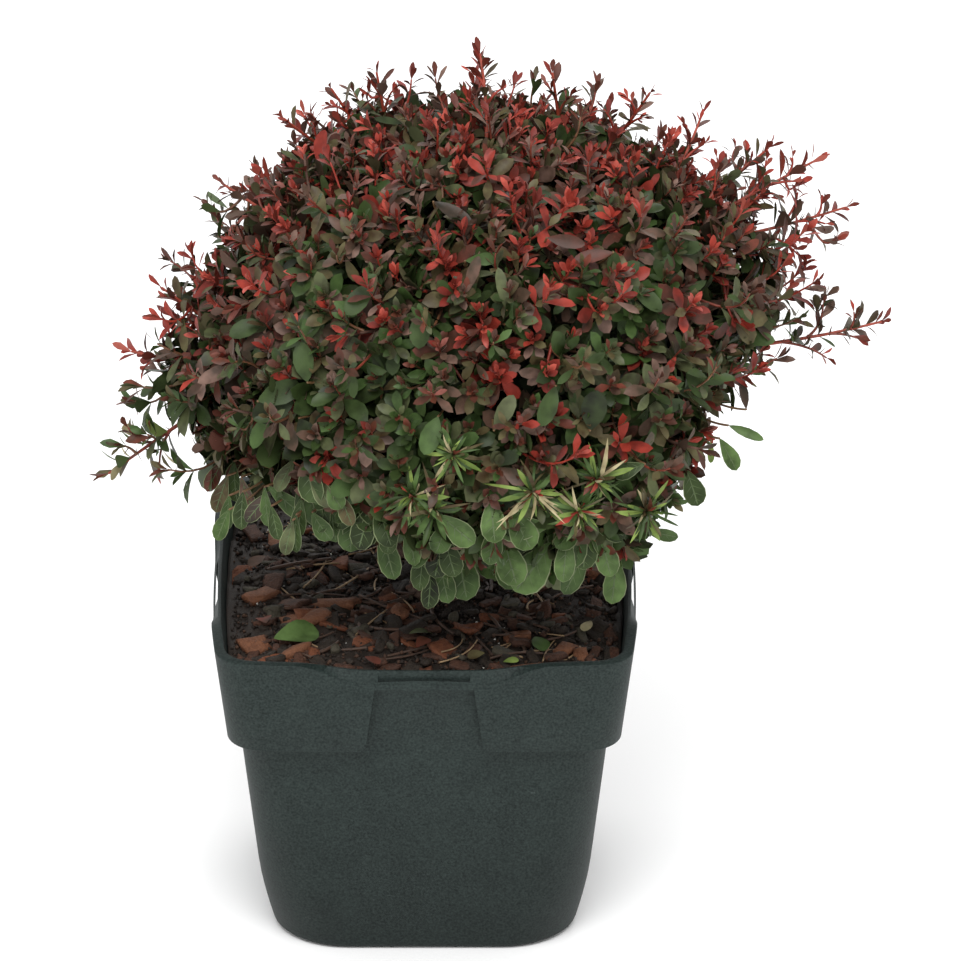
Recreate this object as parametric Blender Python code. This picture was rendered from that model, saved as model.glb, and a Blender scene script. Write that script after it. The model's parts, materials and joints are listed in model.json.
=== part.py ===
# Japanese barberry: a low, dense, spreading shrub in its square nursery pot.
# All sizes are in metres. X runs to the right, Y away from the front and Z up.
# The origin is the middle of the pot's flat underside.

import math
import random

import bmesh
import bpy
from mathutils import Matrix, Vector

# Clear space kept between two pieces that touch
CLEARANCE = 0.0003

# Pot: a tapered square tub with a hanging collar round its top
WALL = 0.0015
FLOOR = 0.0022
RIM_HEIGHT = 0.1705
RIM_HALF_WIDTH = 0.1016
RIM_CORNER_RADIUS = 0.018
RIM_EDGE = 0.0007
RIM_BOW = 0.0034
RIM_DIP = 0.0103
WALL_DIP = 0.0037
DIP_FULL = 0.027
DIP_NONE = 0.062
COLLAR_BOTTOM = 0.1203
COLLAR_BOTTOM_HALF_WIDTH = 0.0955
BODY_HALF_WIDTH = 0.0770
BODY_TAPER = 0.104
FLARE = 0.0034
BODY_CORNER_TOP = 0.016
BODY_CORNER_BASE = 0.036
TUCK = 0.0035
TUCK_HEIGHT = 0.040
FOOT_EDGE = 0.003
BODY_LEVELS = (0.012, 0.024, 0.042, COLLAR_BOTTOM)
SIDE_FRACTIONS = (-1.0, -0.66, -0.49, -0.32, 0.0, 0.32, 0.49, 0.66, 1.0)
CORNER_STEPS = 4

# Each side's notch in the collar, the slot behind its lip, and the drain under it
NOTCH_TOP_HALF = 0.0240
NOTCH_BOTTOM_HALF = 0.0282
NOTCH_FILLET = 0.0045
LIP_HEIGHT = 0.003
LIP_THICKNESS = 0.0012
SLOT_HALF = 0.0222
SLOT_WALL = 0.0003
SLOT_DEPTH = 0.004
GROOVE_HALF = 0.015
GROOVE_DEPTH = 0.0012
GROOVE_START = 0.038
DRAIN_RADIUS = 0.0045
DRAIN_PLACE = 0.054
CUTTER_REACH = 0.125

# Soil
SOIL_TOP = 0.1595
SOIL_EDGE = 0.1570
SOIL_LUMP = 0.0022
SOIL_FLAT_RADIUS = 0.040
SOIL_RINGS = (0.94, 0.82, 0.66, 0.50, 0.34, 0.18)

# Stem: one short foot, cut flat where it meets the soil
STEM_FOOT = Vector((0.006, 0.0, SOIL_TOP + CLEARANCE))
STEM_LEAN = Vector((0.10, 0.0, 1.0))
STEM_HEIGHTS = (0.0, 0.004, 0.012, 0.024, 0.036)
STEM_RADII = (0.0150, 0.0118, 0.0102, 0.0098, 0.0094)
STEM_SIDES = 12

# Crown: its heart, its half sizes, and how boxy its outline is
CROWN_HEART = Vector((0.028, 0.0, 0.3005))
CROWN_HALF_WIDTH = 0.149
CROWN_HALF_DEPTH = 0.152
CROWN_UP = 0.121
CROWN_DOWN = 0.113
CROWN_SQUARENESS = 2.3
# Bulges and hollows of the outline: direction, share of the radius, spread in degrees
BULGES = (
    ((0.93, 0.00, 0.38), 0.12, 22),
    ((0.88, -0.10, -0.42), -0.25, 26),
    ((-0.97, 0.00, -0.22), 0.16, 22),
    ((-0.62, -0.40, -0.66), -0.16, 26),
    ((0.62, 0.45, 0.62), -0.09, 26),
    ((0.40, -0.70, -0.55), 0.08, 24),
)

# Masses of foliage, ring by ring: name, elevation in degrees, how many, first azimuth
MASS_RINGS = (
    ("top", 90, 1, 0),
    ("upper", 34, 5, 54),
    ("lower", -9, 8, 0),
)
SITE_REACH = 0.72
CORE_REACH = 0.77
CORE_MIDDLE = 0.60
CORE_INNER = 0.42
CORE_MARGIN = 0.0008
CORE_FILL = 0.985
CORE_STEP = 0.001
SPACE_MARGIN = 0.0003

# Boughs
BOUGH_ROOT_RADIUS = 0.0024
BOUGH_TIP_RADIUS = 0.0015
MASS_STEM_LENGTH = 0.034
MASS_STEM_SIDES = 5
BOUGH_SIDES = 6
CURVE_STEPS = 9
LIMB_ROOM = 0.0042
LOWER_BOUGH_HEIGHT = 0.017
UPPER_BOUGH_RING = 0.0062
LOWER_BOUGH_RISE = 0.55
BOUGH_BEND = 0.45

# Share of red in a mass's leaves, which grows with its height in the crown
RED_AT_MIDDLE = 0.40
RED_UPWARDS = 0.55

# Twigs and leaves
TWIG_COUNT = 118
TWIG_LOWEST = -0.80
TWIG_REACH = (0.84, 0.92)
TWIG_ROOM = 0.0023
TWIG_SIDES = 3
TWIG_RADIUS = 0.0017
TWIG_TIP_RADIUS = 0.0008
LEAF_LENGTH = (0.024, 0.033)
LEAF_WIDTH = 0.56
LEAF_THICKNESS = 0.055
LEAF_WIDEST = 0.60
LEAF_SPREAD = 62
LEAF_SPREAD_PLAY = 8
LEAF_TURN_STEP = math.radians(40)
LEAF_TILT = 0.35
# How far back from a twig's tip each of its leaves is rooted
LEAF_PLACES = (0.003, 0.006, 0.013, 0.020)
OUTLINE_REACH = 1.02
LEAF_ROOM = 0.0085
GOLDEN_ANGLE = math.radians(137.508)
SHRINKS = (1.0, 0.82, 0.66)

# Long shoots that stand out of the outline: where each one ends
LONG_SHOOTS = (
    (0.221, 0.000, 0.305),
    (0.204, 0.030, 0.352),
    (0.189, 0.018, 0.383),
    (0.166, 0.015, 0.391),
    (0.134, 0.025, 0.404),
    (0.109, 0.035, 0.411),
    (0.062, 0.053, 0.413),
    (0.027, 0.032, 0.433),
    (-0.023, 0.043, 0.418),
    (-0.045, 0.050, 0.406),
    (-0.068, 0.040, 0.395),
    (-0.098, 0.020, 0.370),
    (-0.127, 0.005, 0.321),
    (-0.142, 0.012, 0.283),
    (-0.153, -0.018, 0.232),
)
LONG_LEAF = 0.020


def clear_scene():
    for old in list(bpy.data.objects):
        bpy.data.objects.remove(old, do_unlink=True)


def surface(name, colour, roughness):
    """A Principled material with one colour, given as linear red, green and blue."""
    made = bpy.data.materials.new(name)
    made.use_nodes = True
    shader = made.node_tree.nodes["Principled BSDF"]
    shader.inputs["Base Color"].default_value = (*colour, 1.0)
    shader.inputs["Roughness"].default_value = roughness
    shader.inputs["Metallic"].default_value = 0.0
    return made


def pot_plastic():
    return surface("pot_plastic", (0.040, 0.050, 0.047), 0.62)


def compost():
    return surface("compost", (0.035, 0.021, 0.013), 0.95)


def bark():
    return surface("bark", (0.120, 0.055, 0.032), 0.85)


def foliage(name, share_of_red):
    """Leaf colour between the deep green of the skirt and the maroon of the top."""
    green = Vector((0.050, 0.085, 0.030))
    maroon = Vector((0.135, 0.032, 0.028))
    return surface(name, tuple(green.lerp(maroon, share_of_red)), 0.55)


def new_object(name, points, faces, collection=None):
    """One mesh object with its faces turned outwards."""
    mesh = bpy.data.meshes.new(name)
    mesh.from_pydata([tuple(point) for point in points], [], faces)
    work = bmesh.new()
    work.from_mesh(mesh)
    bmesh.ops.recalc_face_normals(work, faces=work.faces)
    work.to_mesh(mesh)
    work.free()
    made = bpy.data.objects.new(name, mesh)
    (collection or bpy.context.scene.collection).objects.link(made)
    return made


def smooth_round(made, sharp_degrees):
    made.data.shade_smooth()
    made.data.set_sharp_from_angle(angle=math.radians(sharp_degrees))


def lofted(rings, first_middle, last_middle):
    """Points and faces of a skin over rings of equal count, closed by a fan at each end."""
    count = len(rings[0])
    points = [first_middle]
    for ring in rings:
        points.extend(ring)
    points.append(last_middle)
    last = len(points) - 1
    faces = []
    for i in range(count):
        j = (i + 1) % count
        faces.append((0, 1 + j, 1 + i))
        faces.append((last, last - count + i, last - count + j))
        for level in range(len(rings) - 1):
            low = 1 + level * count
            high = low + count
            if points[low].z > points[high].z:
                low, high = high, low
            faces.append((low + i, low + j, high + j))
            faces.append((low + i, high + j, high + i))
    return points, faces


def body_half(height):
    """Half the outer width of the tub's wall, which tucks in at its foot and flares in the collar."""
    tuck = TUCK * max(0.0, 1.0 - height / TUCK_HEIGHT) ** 1.6
    flare = FLARE * max(0.0, (height - COLLAR_BOTTOM) / (RIM_HEIGHT - COLLAR_BOTTOM))
    return BODY_HALF_WIDTH + BODY_TAPER * height - tuck + flare


def body_corner(height):
    share = max(0.0, 1.0 - height / RIM_HEIGHT) ** 1.5
    return BODY_CORNER_TOP + (BODY_CORNER_BASE - BODY_CORNER_TOP) * share


def foot_half(height):
    """The tub's wall with the rounded edge round its underside."""
    share = 1.0 - height / FOOT_EDGE
    return body_half(height) - FOOT_EDGE * (1.0 - math.sqrt(1.0 - share * share))


def inner_half(height):
    return body_half(height) - WALL


def inner_corner(height):
    return body_corner(height) - WALL


def soil_half(height):
    return inner_half(height) - CLEARANCE


def soil_corner(height):
    return inner_corner(height) - CLEARANCE


def collar_half(height):
    """Half the outer width of the collar, which hangs a little inwards."""
    share = (height - COLLAR_BOTTOM) / (RIM_HEIGHT - COLLAR_BOTTOM)
    return COLLAR_BOTTOM_HALF_WIDTH + (RIM_HALF_WIDTH - COLLAR_BOTTOM_HALF_WIDTH) * share


def collar_corner(height):
    return RIM_CORNER_RADIUS


def inside_collar_half(height):
    return collar_half(height) - WALL


def inside_collar_corner(height):
    return RIM_CORNER_RADIUS - WALL


def rim_edge_half(height):
    return collar_half(height) - RIM_EDGE


def rim_edge_corner(height):
    return RIM_CORNER_RADIUS - RIM_EDGE


def bow(height):
    """How far the middle of a side stands out at this height, pushed by the soil."""
    return RIM_BOW * (height / RIM_HEIGHT) ** 3


def rim_height(along, dip=RIM_DIP):
    """The rim's height at a distance from the middle of its side, where it dips."""
    share = (DIP_NONE - abs(along)) / (DIP_NONE - DIP_FULL)
    share = min(1.0, max(0.0, share))
    return RIM_HEIGHT - dip * share * share * (3.0 - 2.0 * share)


def square_ring(half_at, corner_at, height_at):
    """Points round a rounded square whose sides bow out, anticlockwise from above."""
    points = []
    corner_height = height_at(1.0)
    half = half_at(corner_height)
    corner = corner_at(corner_height)
    flat = half - corner
    for side in range(4):
        turn = Matrix.Rotation(side * math.pi / 2, 3, "Z")
        for fraction in SIDE_FRACTIONS:
            along = fraction * flat
            height = height_at(along)
            out = half_at(height) + bow(height) * (1.0 - fraction * fraction)
            points.append(turn @ Vector((along, -out, height)))
        for step in range(1, CORNER_STEPS):
            angle = math.pi / 2 * step / CORNER_STEPS
            across = flat + corner * math.sin(angle)
            out = flat + corner * math.cos(angle)
            points.append(turn @ Vector((across, -out, corner_height)))
    return points


def level_ring(half_at, corner_at, height):
    return square_ring(half_at, corner_at, lambda along: height)


def rim_ring(half_at, corner_at, below, dip=RIM_DIP):
    return square_ring(half_at, corner_at, lambda along: rim_height(along, dip) - below)


def prism(outline, inner_at, outer):
    """A cutter on the front side: an outline of (across, height), from inner_at(height) outwards."""
    near = [Vector((across, -inner_at(height), height)) for across, height in outline]
    far = [Vector((across, -outer, height)) for across, height in outline]
    count = len(outline)
    faces = [tuple(range(count)), tuple(range(2 * count - 1, count - 1, -1))]
    for i in range(count):
        j = (i + 1) % count
        faces.append((i, count + i, count + j, j))
    return near + far, faces


def notch_outline():
    """The gap in the collar, with a fillet where each of its sides meets the lower edge."""
    top = rim_height(0.0) - LIP_HEIGHT
    right = [(NOTCH_TOP_HALF, top)]
    for step in range(4):
        angle = math.pi / 2 * step / 3
        across = NOTCH_BOTTOM_HALF + NOTCH_FILLET * (1.0 - math.cos(angle))
        right.append((across, COLLAR_BOTTOM + NOTCH_FILLET * (1.0 - math.sin(angle))))
    right.append((NOTCH_BOTTOM_HALF + NOTCH_FILLET, COLLAR_BOTTOM - 3 * WALL))
    return right + [(-across, height) for across, height in reversed(right)]


def channel_middle(height):
    """Halfway between the tub's wall and the collar, on a straight line up the gap."""
    top = rim_height(0.0)
    share = (height - COLLAR_BOTTOM) / (top - COLLAR_BOTTOM)
    ends = []
    for level in (COLLAR_BOTTOM, top):
        ends.append((body_half(level) + inside_collar_half(level)) / 2 + bow(level))
    return ends[0] + (ends[1] - ends[0]) * share


def slot_inner(height):
    """The slot's side by the tub, which follows the slant of the tub's wall."""
    return body_half(height) + bow(height) + SLOT_WALL


def box_outline(half, low, high):
    return [(half, high), (half, low), (-half, low), (-half, high)]


def drain_outline():
    return [
        (DRAIN_RADIUS * math.cos(angle), DRAIN_RADIUS * math.sin(angle))
        for angle in (math.pi / 6 * step for step in range(12))
    ]


def pot_cutters():
    """The cutters of all four sides, in a collection of their own."""
    cutters = bpy.data.collections.new("pot_cutters")
    bpy.context.scene.collection.children.link(cutters)
    top = rim_height(0.0)
    slot_outer = collar_half(top) + bow(top) - LIP_THICKNESS
    slot = box_outline(SLOT_HALF, top - SLOT_DEPTH, RIM_HEIGHT)
    groove = box_outline(GROOVE_HALF, -WALL, GROOVE_DEPTH)
    shapes = (
        ("notch", prism(notch_outline(), channel_middle, CUTTER_REACH)),
        ("slot", prism(slot, slot_inner, slot_outer)),
        ("groove", prism(groove, lambda height: GROOVE_START, CUTTER_REACH)),
        ("drain", drain_hole()),
    )
    for name, (points, faces) in shapes:
        for side in range(4):
            cutter = new_object(f"{name}_cutter_{side + 1}", points, faces, cutters)
            cutter.rotation_euler.z = side * math.pi / 2
            cutter.hide_render = True
            cutter.display_type = "WIRE"
    return cutters


def drain_hole():
    """A short round plug through the floor of the tub."""
    outline = drain_outline()
    low = [Vector((across, along - DRAIN_PLACE, -WALL)) for across, along in outline]
    high = [Vector((across, along - DRAIN_PLACE, FLOOR + WALL)) for across, along in outline]
    count = len(outline)
    faces = [tuple(range(count)), tuple(range(2 * count - 1, count - 1, -1))]
    for i in range(count):
        j = (i + 1) % count
        faces.append((i, count + i, count + j, j))
    return low + high, faces


def make_pot():
    """The tub, its flange and its collar as one skin, then the cuts of each side."""
    rings = [level_ring(foot_half, body_corner, height) for height in (0.0, 0.0006, 0.0019, FOOT_EDGE)]
    rings += [level_ring(body_half, body_corner, height) for height in BODY_LEVELS]
    rings += [
        rim_ring(body_half, body_corner, WALL),
        rim_ring(inside_collar_half, inside_collar_corner, WALL),
        level_ring(inside_collar_half, inside_collar_corner, COLLAR_BOTTOM),
        level_ring(collar_half, collar_corner, COLLAR_BOTTOM),
        rim_ring(collar_half, collar_corner, RIM_EDGE),
        rim_ring(rim_edge_half, rim_edge_corner, 0.0),
        rim_ring(body_half, body_corner, 0.0, WALL_DIP),
        rim_ring(inner_half, inner_corner, 0.0, WALL_DIP),
    ]
    rings += [level_ring(inner_half, inner_corner, height) for height in reversed(BODY_LEVELS)]
    rings.append(level_ring(inner_half, inner_corner, FLOOR))
    points, faces = lofted(rings, Vector((0, 0, 0)), Vector((0, 0, FLOOR)))
    pot = new_object("pot", points, faces)
    cuts = pot.modifiers.new("cuts", "BOOLEAN")
    cuts.operation = "DIFFERENCE"
    cuts.solver = "EXACT"
    cuts.operand_type = "COLLECTION"
    cuts.collection = pot_cutters()
    smooth_round(pot, 32)
    pot.data.materials.append(pot_plastic())
    return pot


def make_soil():
    """Compost that fills the tub, with a lumpy top that is flat only under the stem."""
    seeded = random.Random(11)
    floor = FLOOR + CLEARANCE
    rings = [level_ring(soil_half, soil_corner, floor)]
    rings += [level_ring(soil_half, soil_corner, height) for height in BODY_LEVELS]
    edge = level_ring(soil_half, soil_corner, SOIL_EDGE)
    rings.append(edge)
    for fraction in SOIL_RINGS:
        ring = []
        for point in edge:
            spot = Vector((point.x * fraction, point.y * fraction, SOIL_TOP))
            if math.hypot(spot.x - STEM_FOOT.x, spot.y) > SOIL_FLAT_RADIUS:
                spot.z += seeded.uniform(-SOIL_LUMP, SOIL_LUMP)
            ring.append(spot)
        rings.append(ring)
    points, faces = lofted(rings, Vector((0, 0, floor)), Vector((0, 0, SOIL_TOP)))
    soil = new_object("soil", points, faces)
    soil.data.materials.append(compost())
    return soil


def limb(points, radii, sides, start_normal=None, end_normal=None):
    """A tapering limb along a path. Its ends lie square to the given directions, where there are any."""
    directions = []
    for i in range(len(points)):
        before = points[max(0, i - 1)]
        after = points[min(len(points) - 1, i + 1)]
        directions.append((after - before).normalized())
    if start_normal is not None:
        directions[0] = start_normal.normalized()
    if end_normal is not None:
        directions[-1] = end_normal.normalized()
    across = directions[0].orthogonal().normalized()
    rings = []
    for point, radius, direction in zip(points, radii, directions):
        across = (across - direction * across.dot(direction)).normalized()
        beside = direction.cross(across)
        ring = []
        for step in range(sides):
            angle = 2 * math.pi * step / sides
            ring.append(point + radius * (math.cos(angle) * across + math.sin(angle) * beside))
        rings.append(ring)
    count = sides
    flat = [point for ring in rings for point in ring]
    faces = [tuple(range(count)), tuple(range(len(flat) - 1, len(flat) - count - 1, -1))]
    for level in range(len(rings) - 1):
        for i in range(count):
            j = (i + 1) % count
            low = level * count
            faces.append((low + i, low + count + i, low + count + j, low + j))
    return flat, faces


def stem_point(height):
    return STEM_FOOT + STEM_LEAN.normalized() * height


def stem_radius(height):
    """The stem's radius between its listed heights."""
    pairs = list(zip(STEM_HEIGHTS, STEM_RADII))
    for (low, wide), (high, narrow) in zip(pairs, pairs[1:]):
        if height <= high:
            return wide + (narrow - wide) * (height - low) / (high - low)
    return STEM_RADII[-1]


def flank_normal(sideways, height):
    """The way that the stem's flank faces on this side, with its lean and its taper."""
    step = 0.002
    taper = (stem_radius(height + step) - stem_radius(height - step)) / (2 * step)
    return (sideways - Vector((0, 0, STEM_LEAN.x * sideways.x + taper))).normalized()


def make_stem():
    """The short foot of the shrub, flared and cut flat at the soil."""
    path = [stem_point(height) for height in STEM_HEIGHTS]
    points, faces = limb(path, STEM_RADII, STEM_SIDES, Vector((0, 0, 1)))
    stem = new_object("stem", points, faces)
    smooth_round(stem, 40)
    stem.data.materials.append(bark())
    return stem


def crown_radius(direction):
    """How far the leafy outline lies from the crown's heart in this direction."""
    height = CROWN_UP if direction.z > 0 else CROWN_DOWN
    total = abs(direction.x / CROWN_HALF_WIDTH) ** CROWN_SQUARENESS
    total += abs(direction.y / CROWN_HALF_DEPTH) ** CROWN_SQUARENESS
    total += abs(direction.z / height) ** CROWN_SQUARENESS
    radius = total ** (-1.0 / CROWN_SQUARENESS)
    for towards, share, spread in BULGES:
        angle = direction.angle(Vector(towards)) / math.radians(spread)
        radius *= 1.0 + share * math.exp(-angle * angle)
    return radius


def crown_point(direction, reach):
    return CROWN_HEART + direction * crown_radius(direction) * reach


def share_of_reach(point):
    """The point's distance from the crown's heart, as a share of the outline's there."""
    away = point - CROWN_HEART
    return away.length / crown_radius(away.normalized())


def from_angles(azimuth, elevation):
    turn = math.radians(azimuth)
    rise = math.radians(elevation)
    return Vector((math.cos(rise) * math.cos(turn), math.cos(rise) * math.sin(turn), math.sin(rise)))


def mass_sites():
    """Name, ring and direction of every mass of foliage."""
    sites = []
    for ring, elevation, count, first in MASS_RINGS:
        for i in range(count):
            name = ring if count == 1 else f"{ring}_{i + 1}"
            sites.append((name, ring, from_angles(first + 360 * i / count, elevation)))
    return sites


def walls_of(index, sites):
    """The flat walls of a mass's space, as (point, outward normal)."""
    own = crown_point(sites[index][2], SITE_REACH)
    walls = []
    for other, (_, _, direction) in enumerate(sites):
        if other == index:
            continue
        neighbour = crown_point(direction, SITE_REACH)
        walls.append(((own + neighbour) / 2, (neighbour - own).normalized()))
    walls.append((crown_point(sites[index][2], CORE_INNER), -sites[index][2]))
    path = bough_path(index, sites)
    arriving = (path[-1] - path[-2]).normalized()
    walls.append((path[-1] + arriving * LIMB_ROOM, -arriving))
    return walls


def room(point, walls):
    """How far the point lies inside the walls, negative when it is outside."""
    return min((middle - point).dot(normal) for middle, normal in walls)


def nearest_site(point, sites):
    return min(range(len(sites)), key=lambda i: (crown_point(sites[i][2], SITE_REACH) - point).length)


def limb_walls(middle, limbs):
    """One wall before each limb that runs near, square to the line from the middle of the core."""
    walls = []
    for path in limbs:
        nearest = None
        for a, b in zip(path, path[1:]):
            along = b - a
            share = min(1.0, max(0.0, (middle - a).dot(along) / along.length_squared))
            spot = a + along * share
            if nearest is None or (spot - middle).length < (nearest - middle).length:
                nearest = spot
        towards = (nearest - middle).normalized()
        walls.append((nearest - towards * LIMB_ROOM, towards))
    return walls


def core_shape(middle, walls, limbs):
    """The dense inner wood and shade leaves of a mass, filling most of its space."""
    walls = walls + limb_walls(middle, limbs)
    work = bmesh.new()
    bmesh.ops.create_icosphere(work, subdivisions=2, radius=1.0)
    points = []
    for vertex in work.verts:
        direction = vertex.co.normalized()
        reach = CORE_STEP
        while reach < 0.2:
            point = middle + direction * (reach + CORE_STEP)
            if room(point, walls) < CORE_MARGIN or share_of_reach(point) > CORE_REACH:
                break
            reach += CORE_STEP
        points.append(middle + direction * reach * CORE_FILL)
    faces = [tuple(vertex.index for vertex in face.verts) for face in work.faces]
    work.free()
    return points, faces


def leaf_shape(root, direction, facing, length, width_share):
    """A spoon-shaped leaf of eight faces, thickest along its middle."""
    facing = (facing - direction * facing.dot(direction)).normalized()
    beside = direction.cross(facing)
    half = length * width_share / 2
    thick = length * LEAF_THICKNESS / 2
    broad = root + direction * length * LEAF_WIDEST
    points = [
        root,
        broad + beside * half,
        root + direction * length,
        broad - beside * half,
        root + (broad - root) * 0.9 + facing * thick,
        root + (broad - root) * 0.9 - facing * thick,
    ]
    faces = [(0, 1, 4), (1, 2, 4), (2, 3, 4), (3, 0, 4), (1, 0, 5), (2, 1, 5), (3, 2, 5), (0, 3, 5)]
    return points, faces


def limb_clear(points, paths):
    """Whether every point stays well clear of the boughs."""
    for path in paths:
        for a, b in zip(path, path[1:]):
            along = b - a
            for point in points:
                share = min(1.0, max(0.0, (point - a).dot(along) / along.length_squared))
                if (point - a - along * share).length < LIMB_ROOM:
                    return False
    return True


def leaf_directions(twig, number, turn, seeded):
    """The ways that a side leaf may point, best first: round the twig by the golden angle."""
    across = twig.orthogonal().normalized()
    spread = math.radians(LEAF_SPREAD + seeded.uniform(-LEAF_SPREAD_PLAY, LEAF_SPREAD_PLAY))
    choices = []
    for tries in range(3):
        angle = turn + GOLDEN_ANGLE * number + tries * LEAF_TURN_STEP
        beside = Matrix.Rotation(angle, 3, twig) @ across
        choices.append((twig * math.cos(spread) + beside * math.sin(spread)).normalized())
    return choices


def leaf_fits(points, walls, limbs, centres, long_shoot):
    """Whether a leaf keeps to its mass's space, off the limbs, clear of its fellows and in the outline."""
    if room_all(points, walls) < SPACE_MARGIN or not limb_clear(points[1:4], limbs):
        return False
    if any((points[4] - other).length < LEAF_ROOM for other in centres):
        return False
    return long_shoot or share_of_reach(points[2]) <= OUTLINE_REACH


def twig_leaves(base, tip, long_shoot, walls, limbs, centres, seeded):
    """The leaves of one twig: one on its tip, and one at each place down its side."""
    twig = (tip - base).normalized()
    outward = (tip - CROWN_HEART).normalized()
    turn = seeded.uniform(0, 2 * math.pi)
    leaves = []
    for number, back in enumerate(LEAF_PLACES):
        length = LONG_LEAF if long_shoot else seeded.uniform(*LEAF_LENGTH)
        width = LEAF_WIDTH * seeded.uniform(0.9, 1.1)
        choices = [twig] if number == 0 else leaf_directions(twig, number, turn, seeded)
        tilt = Vector([seeded.uniform(-LEAF_TILT, LEAF_TILT) for _ in range(3)])
        for shrink, choice in ((shrink, choice) for shrink in SHRINKS for choice in choices):
            points, faces = leaf_shape(tip - twig * back, choice, outward + tilt, length * shrink, width)
            if leaf_fits(points, walls, limbs, centres, long_shoot):
                leaves.append((points, faces))
                centres.append(points[4])
                break
    return leaves


def mass_pieces(index, sites, targets, limbs):
    """Every twig and leaf of one mass, by the branching rule, as (points, faces)."""
    seeded = random.Random(100 + index)
    walls = walls_of(index, sites)
    middle = crown_point(sites[index][2], CORE_MIDDLE)
    pieces = []
    centres = []
    for target, long_shoot in targets:
        if room(target, walls) < TWIG_ROOM:
            continue
        tip = target
        if long_shoot:
            tip = target - (target - middle).normalized() * LONG_LEAF
        pieces.append(limb([middle, tip], [TWIG_RADIUS, TWIG_TIP_RADIUS], TWIG_SIDES))
        pieces += twig_leaves(middle, tip, long_shoot, walls, limbs, centres, seeded)
    return pieces


def room_all(points, walls):
    return min(room(point, walls) for point in points)


def twig_targets(sites):
    """Where each twig ends, dealt out evenly over the crown and sorted by mass."""
    seeded = random.Random(7)
    targets = [[] for _ in sites]
    for i in range(TWIG_COUNT):
        height = 1.0 - (i + 0.5) / TWIG_COUNT * (1.0 - TWIG_LOWEST)
        flat = math.sqrt(1.0 - height * height)
        angle = GOLDEN_ANGLE * i
        direction = Vector((flat * math.cos(angle), flat * math.sin(angle), height))
        target = crown_point(direction, seeded.uniform(*TWIG_REACH))
        targets[nearest_site(target, sites)].append((target, False))
    for place in LONG_SHOOTS:
        target = Vector(place)
        targets[nearest_site(target, sites)].append((target, True))
    return targets


def only_main_body(mesh):
    """Drops loose scraps and fills sealed hollows, leaving the one outer skin."""
    work = bmesh.new()
    work.from_mesh(mesh)
    bmesh.ops.remove_doubles(work, verts=work.verts, dist=1e-7)
    bmesh.ops.triangulate(work, faces=work.faces)
    waiting = set(work.faces)
    bodies = []
    while waiting:
        found = [waiting.pop()]
        body = []
        while found:
            face = found.pop()
            body.append(face)
            for edge in face.edges:
                for other in edge.link_faces:
                    if other in waiting:
                        waiting.remove(other)
                        found.append(other)
        bodies.append(body)
    bodies.sort(key=len, reverse=True)
    for body in bodies[1:]:
        bmesh.ops.delete(work, geom=body, context="FACES")
    loose = [vertex for vertex in work.verts if not vertex.link_faces]
    bmesh.ops.delete(work, geom=loose, context="VERTS")
    work.to_mesh(mesh)
    work.free()


def fuse(made, pieces):
    """Joins the pieces to the object by one Boolean union on a collection."""
    group = bpy.data.collections.new(made.name + "_pieces")
    bpy.context.scene.collection.children.link(group)
    for number, (points, faces) in enumerate(pieces):
        new_object(f"{made.name}_piece_{number + 1}", points, faces, group)
    union = made.modifiers.new("union", "BOOLEAN")
    union.operation = "UNION"
    union.solver = "EXACT"
    union.operand_type = "COLLECTION"
    union.collection = group
    graph = bpy.context.evaluated_depsgraph_get()
    mesh = bpy.data.meshes.new_from_object(made.evaluated_get(graph))
    made.modifiers.clear()
    made.data = mesh
    for piece in list(group.objects):
        bpy.data.objects.remove(piece, do_unlink=True)
    bpy.data.collections.remove(group)
    only_main_body(made.data)


def mass_stem(index, sites):
    """The mass's own stem, which carries its bough's curve on into the core."""
    path, _ = limb_curve(index, sites)
    split = split_of(path)
    direction = (path[split + 1] - path[split]).normalized()
    own = [path[split] + direction * CLEARANCE] + path[split + 1:]
    radii = [BOUGH_TIP_RADIUS + (TWIG_RADIUS - BOUGH_TIP_RADIUS) * i / len(own) for i in range(len(own))]
    return limb(own, radii, MASS_STEM_SIDES, direction)


def limbs_near(index, sites):
    """Every limb that a mass keeps clear of: its own bough, and all of the other masses' curves."""
    limbs = [bough_path(index, sites)]
    limbs += [limb_curve(other, sites)[0] for other in range(len(sites)) if other != index]
    return limbs


def make_mass(index, sites, targets):
    name, _, direction = sites[index]
    middle = crown_point(direction, CORE_MIDDLE)
    limbs = limbs_near(index, sites)
    points, faces = core_shape(middle, walls_of(index, sites), limbs)
    mass = new_object(f"mass_{name}", points, faces)
    pieces = [mass_stem(index, sites)] + mass_pieces(index, sites, targets[index], limbs)
    fuse(mass, pieces)
    mass.data.materials.clear()
    mass.data.materials.append(foliage(f"leaves_{name}", RED_AT_MIDDLE + RED_UPWARDS * direction.z))
    return mass


def limb_curve(index, sites):
    """The whole curve from the stem to the middle of a mass, and the way it leaves the stem."""
    _, ring, direction = sites[index]
    end = crown_point(direction, CORE_MIDDLE)
    sideways = Vector((direction.x, direction.y, 0.0))
    if ring == "lower":
        sideways.normalize()
        start_normal = flank_normal(sideways, LOWER_BOUGH_HEIGHT)
        root = stem_point(LOWER_BOUGH_HEIGHT) + sideways * (stem_radius(LOWER_BOUGH_HEIGHT) + CLEARANCE)
        leave = (sideways + Vector((0, 0, LOWER_BOUGH_RISE))).normalized()
    else:
        start_normal = STEM_LEAN.normalized()
        beside = sideways - start_normal * sideways.dot(start_normal)
        root = stem_point(STEM_HEIGHTS[-1] + CLEARANCE)
        if ring != "top":
            root += beside.normalized() * UPPER_BOUGH_RING
        leave = start_normal
    bend = root + leave * (end - root).length * BOUGH_BEND
    path = []
    for step in range(CURVE_STEPS + 1):
        t = step / CURVE_STEPS
        path.append(root * (1 - t) ** 2 + bend * 2 * t * (1 - t) + end * t * t)
    return path, start_normal


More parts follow.
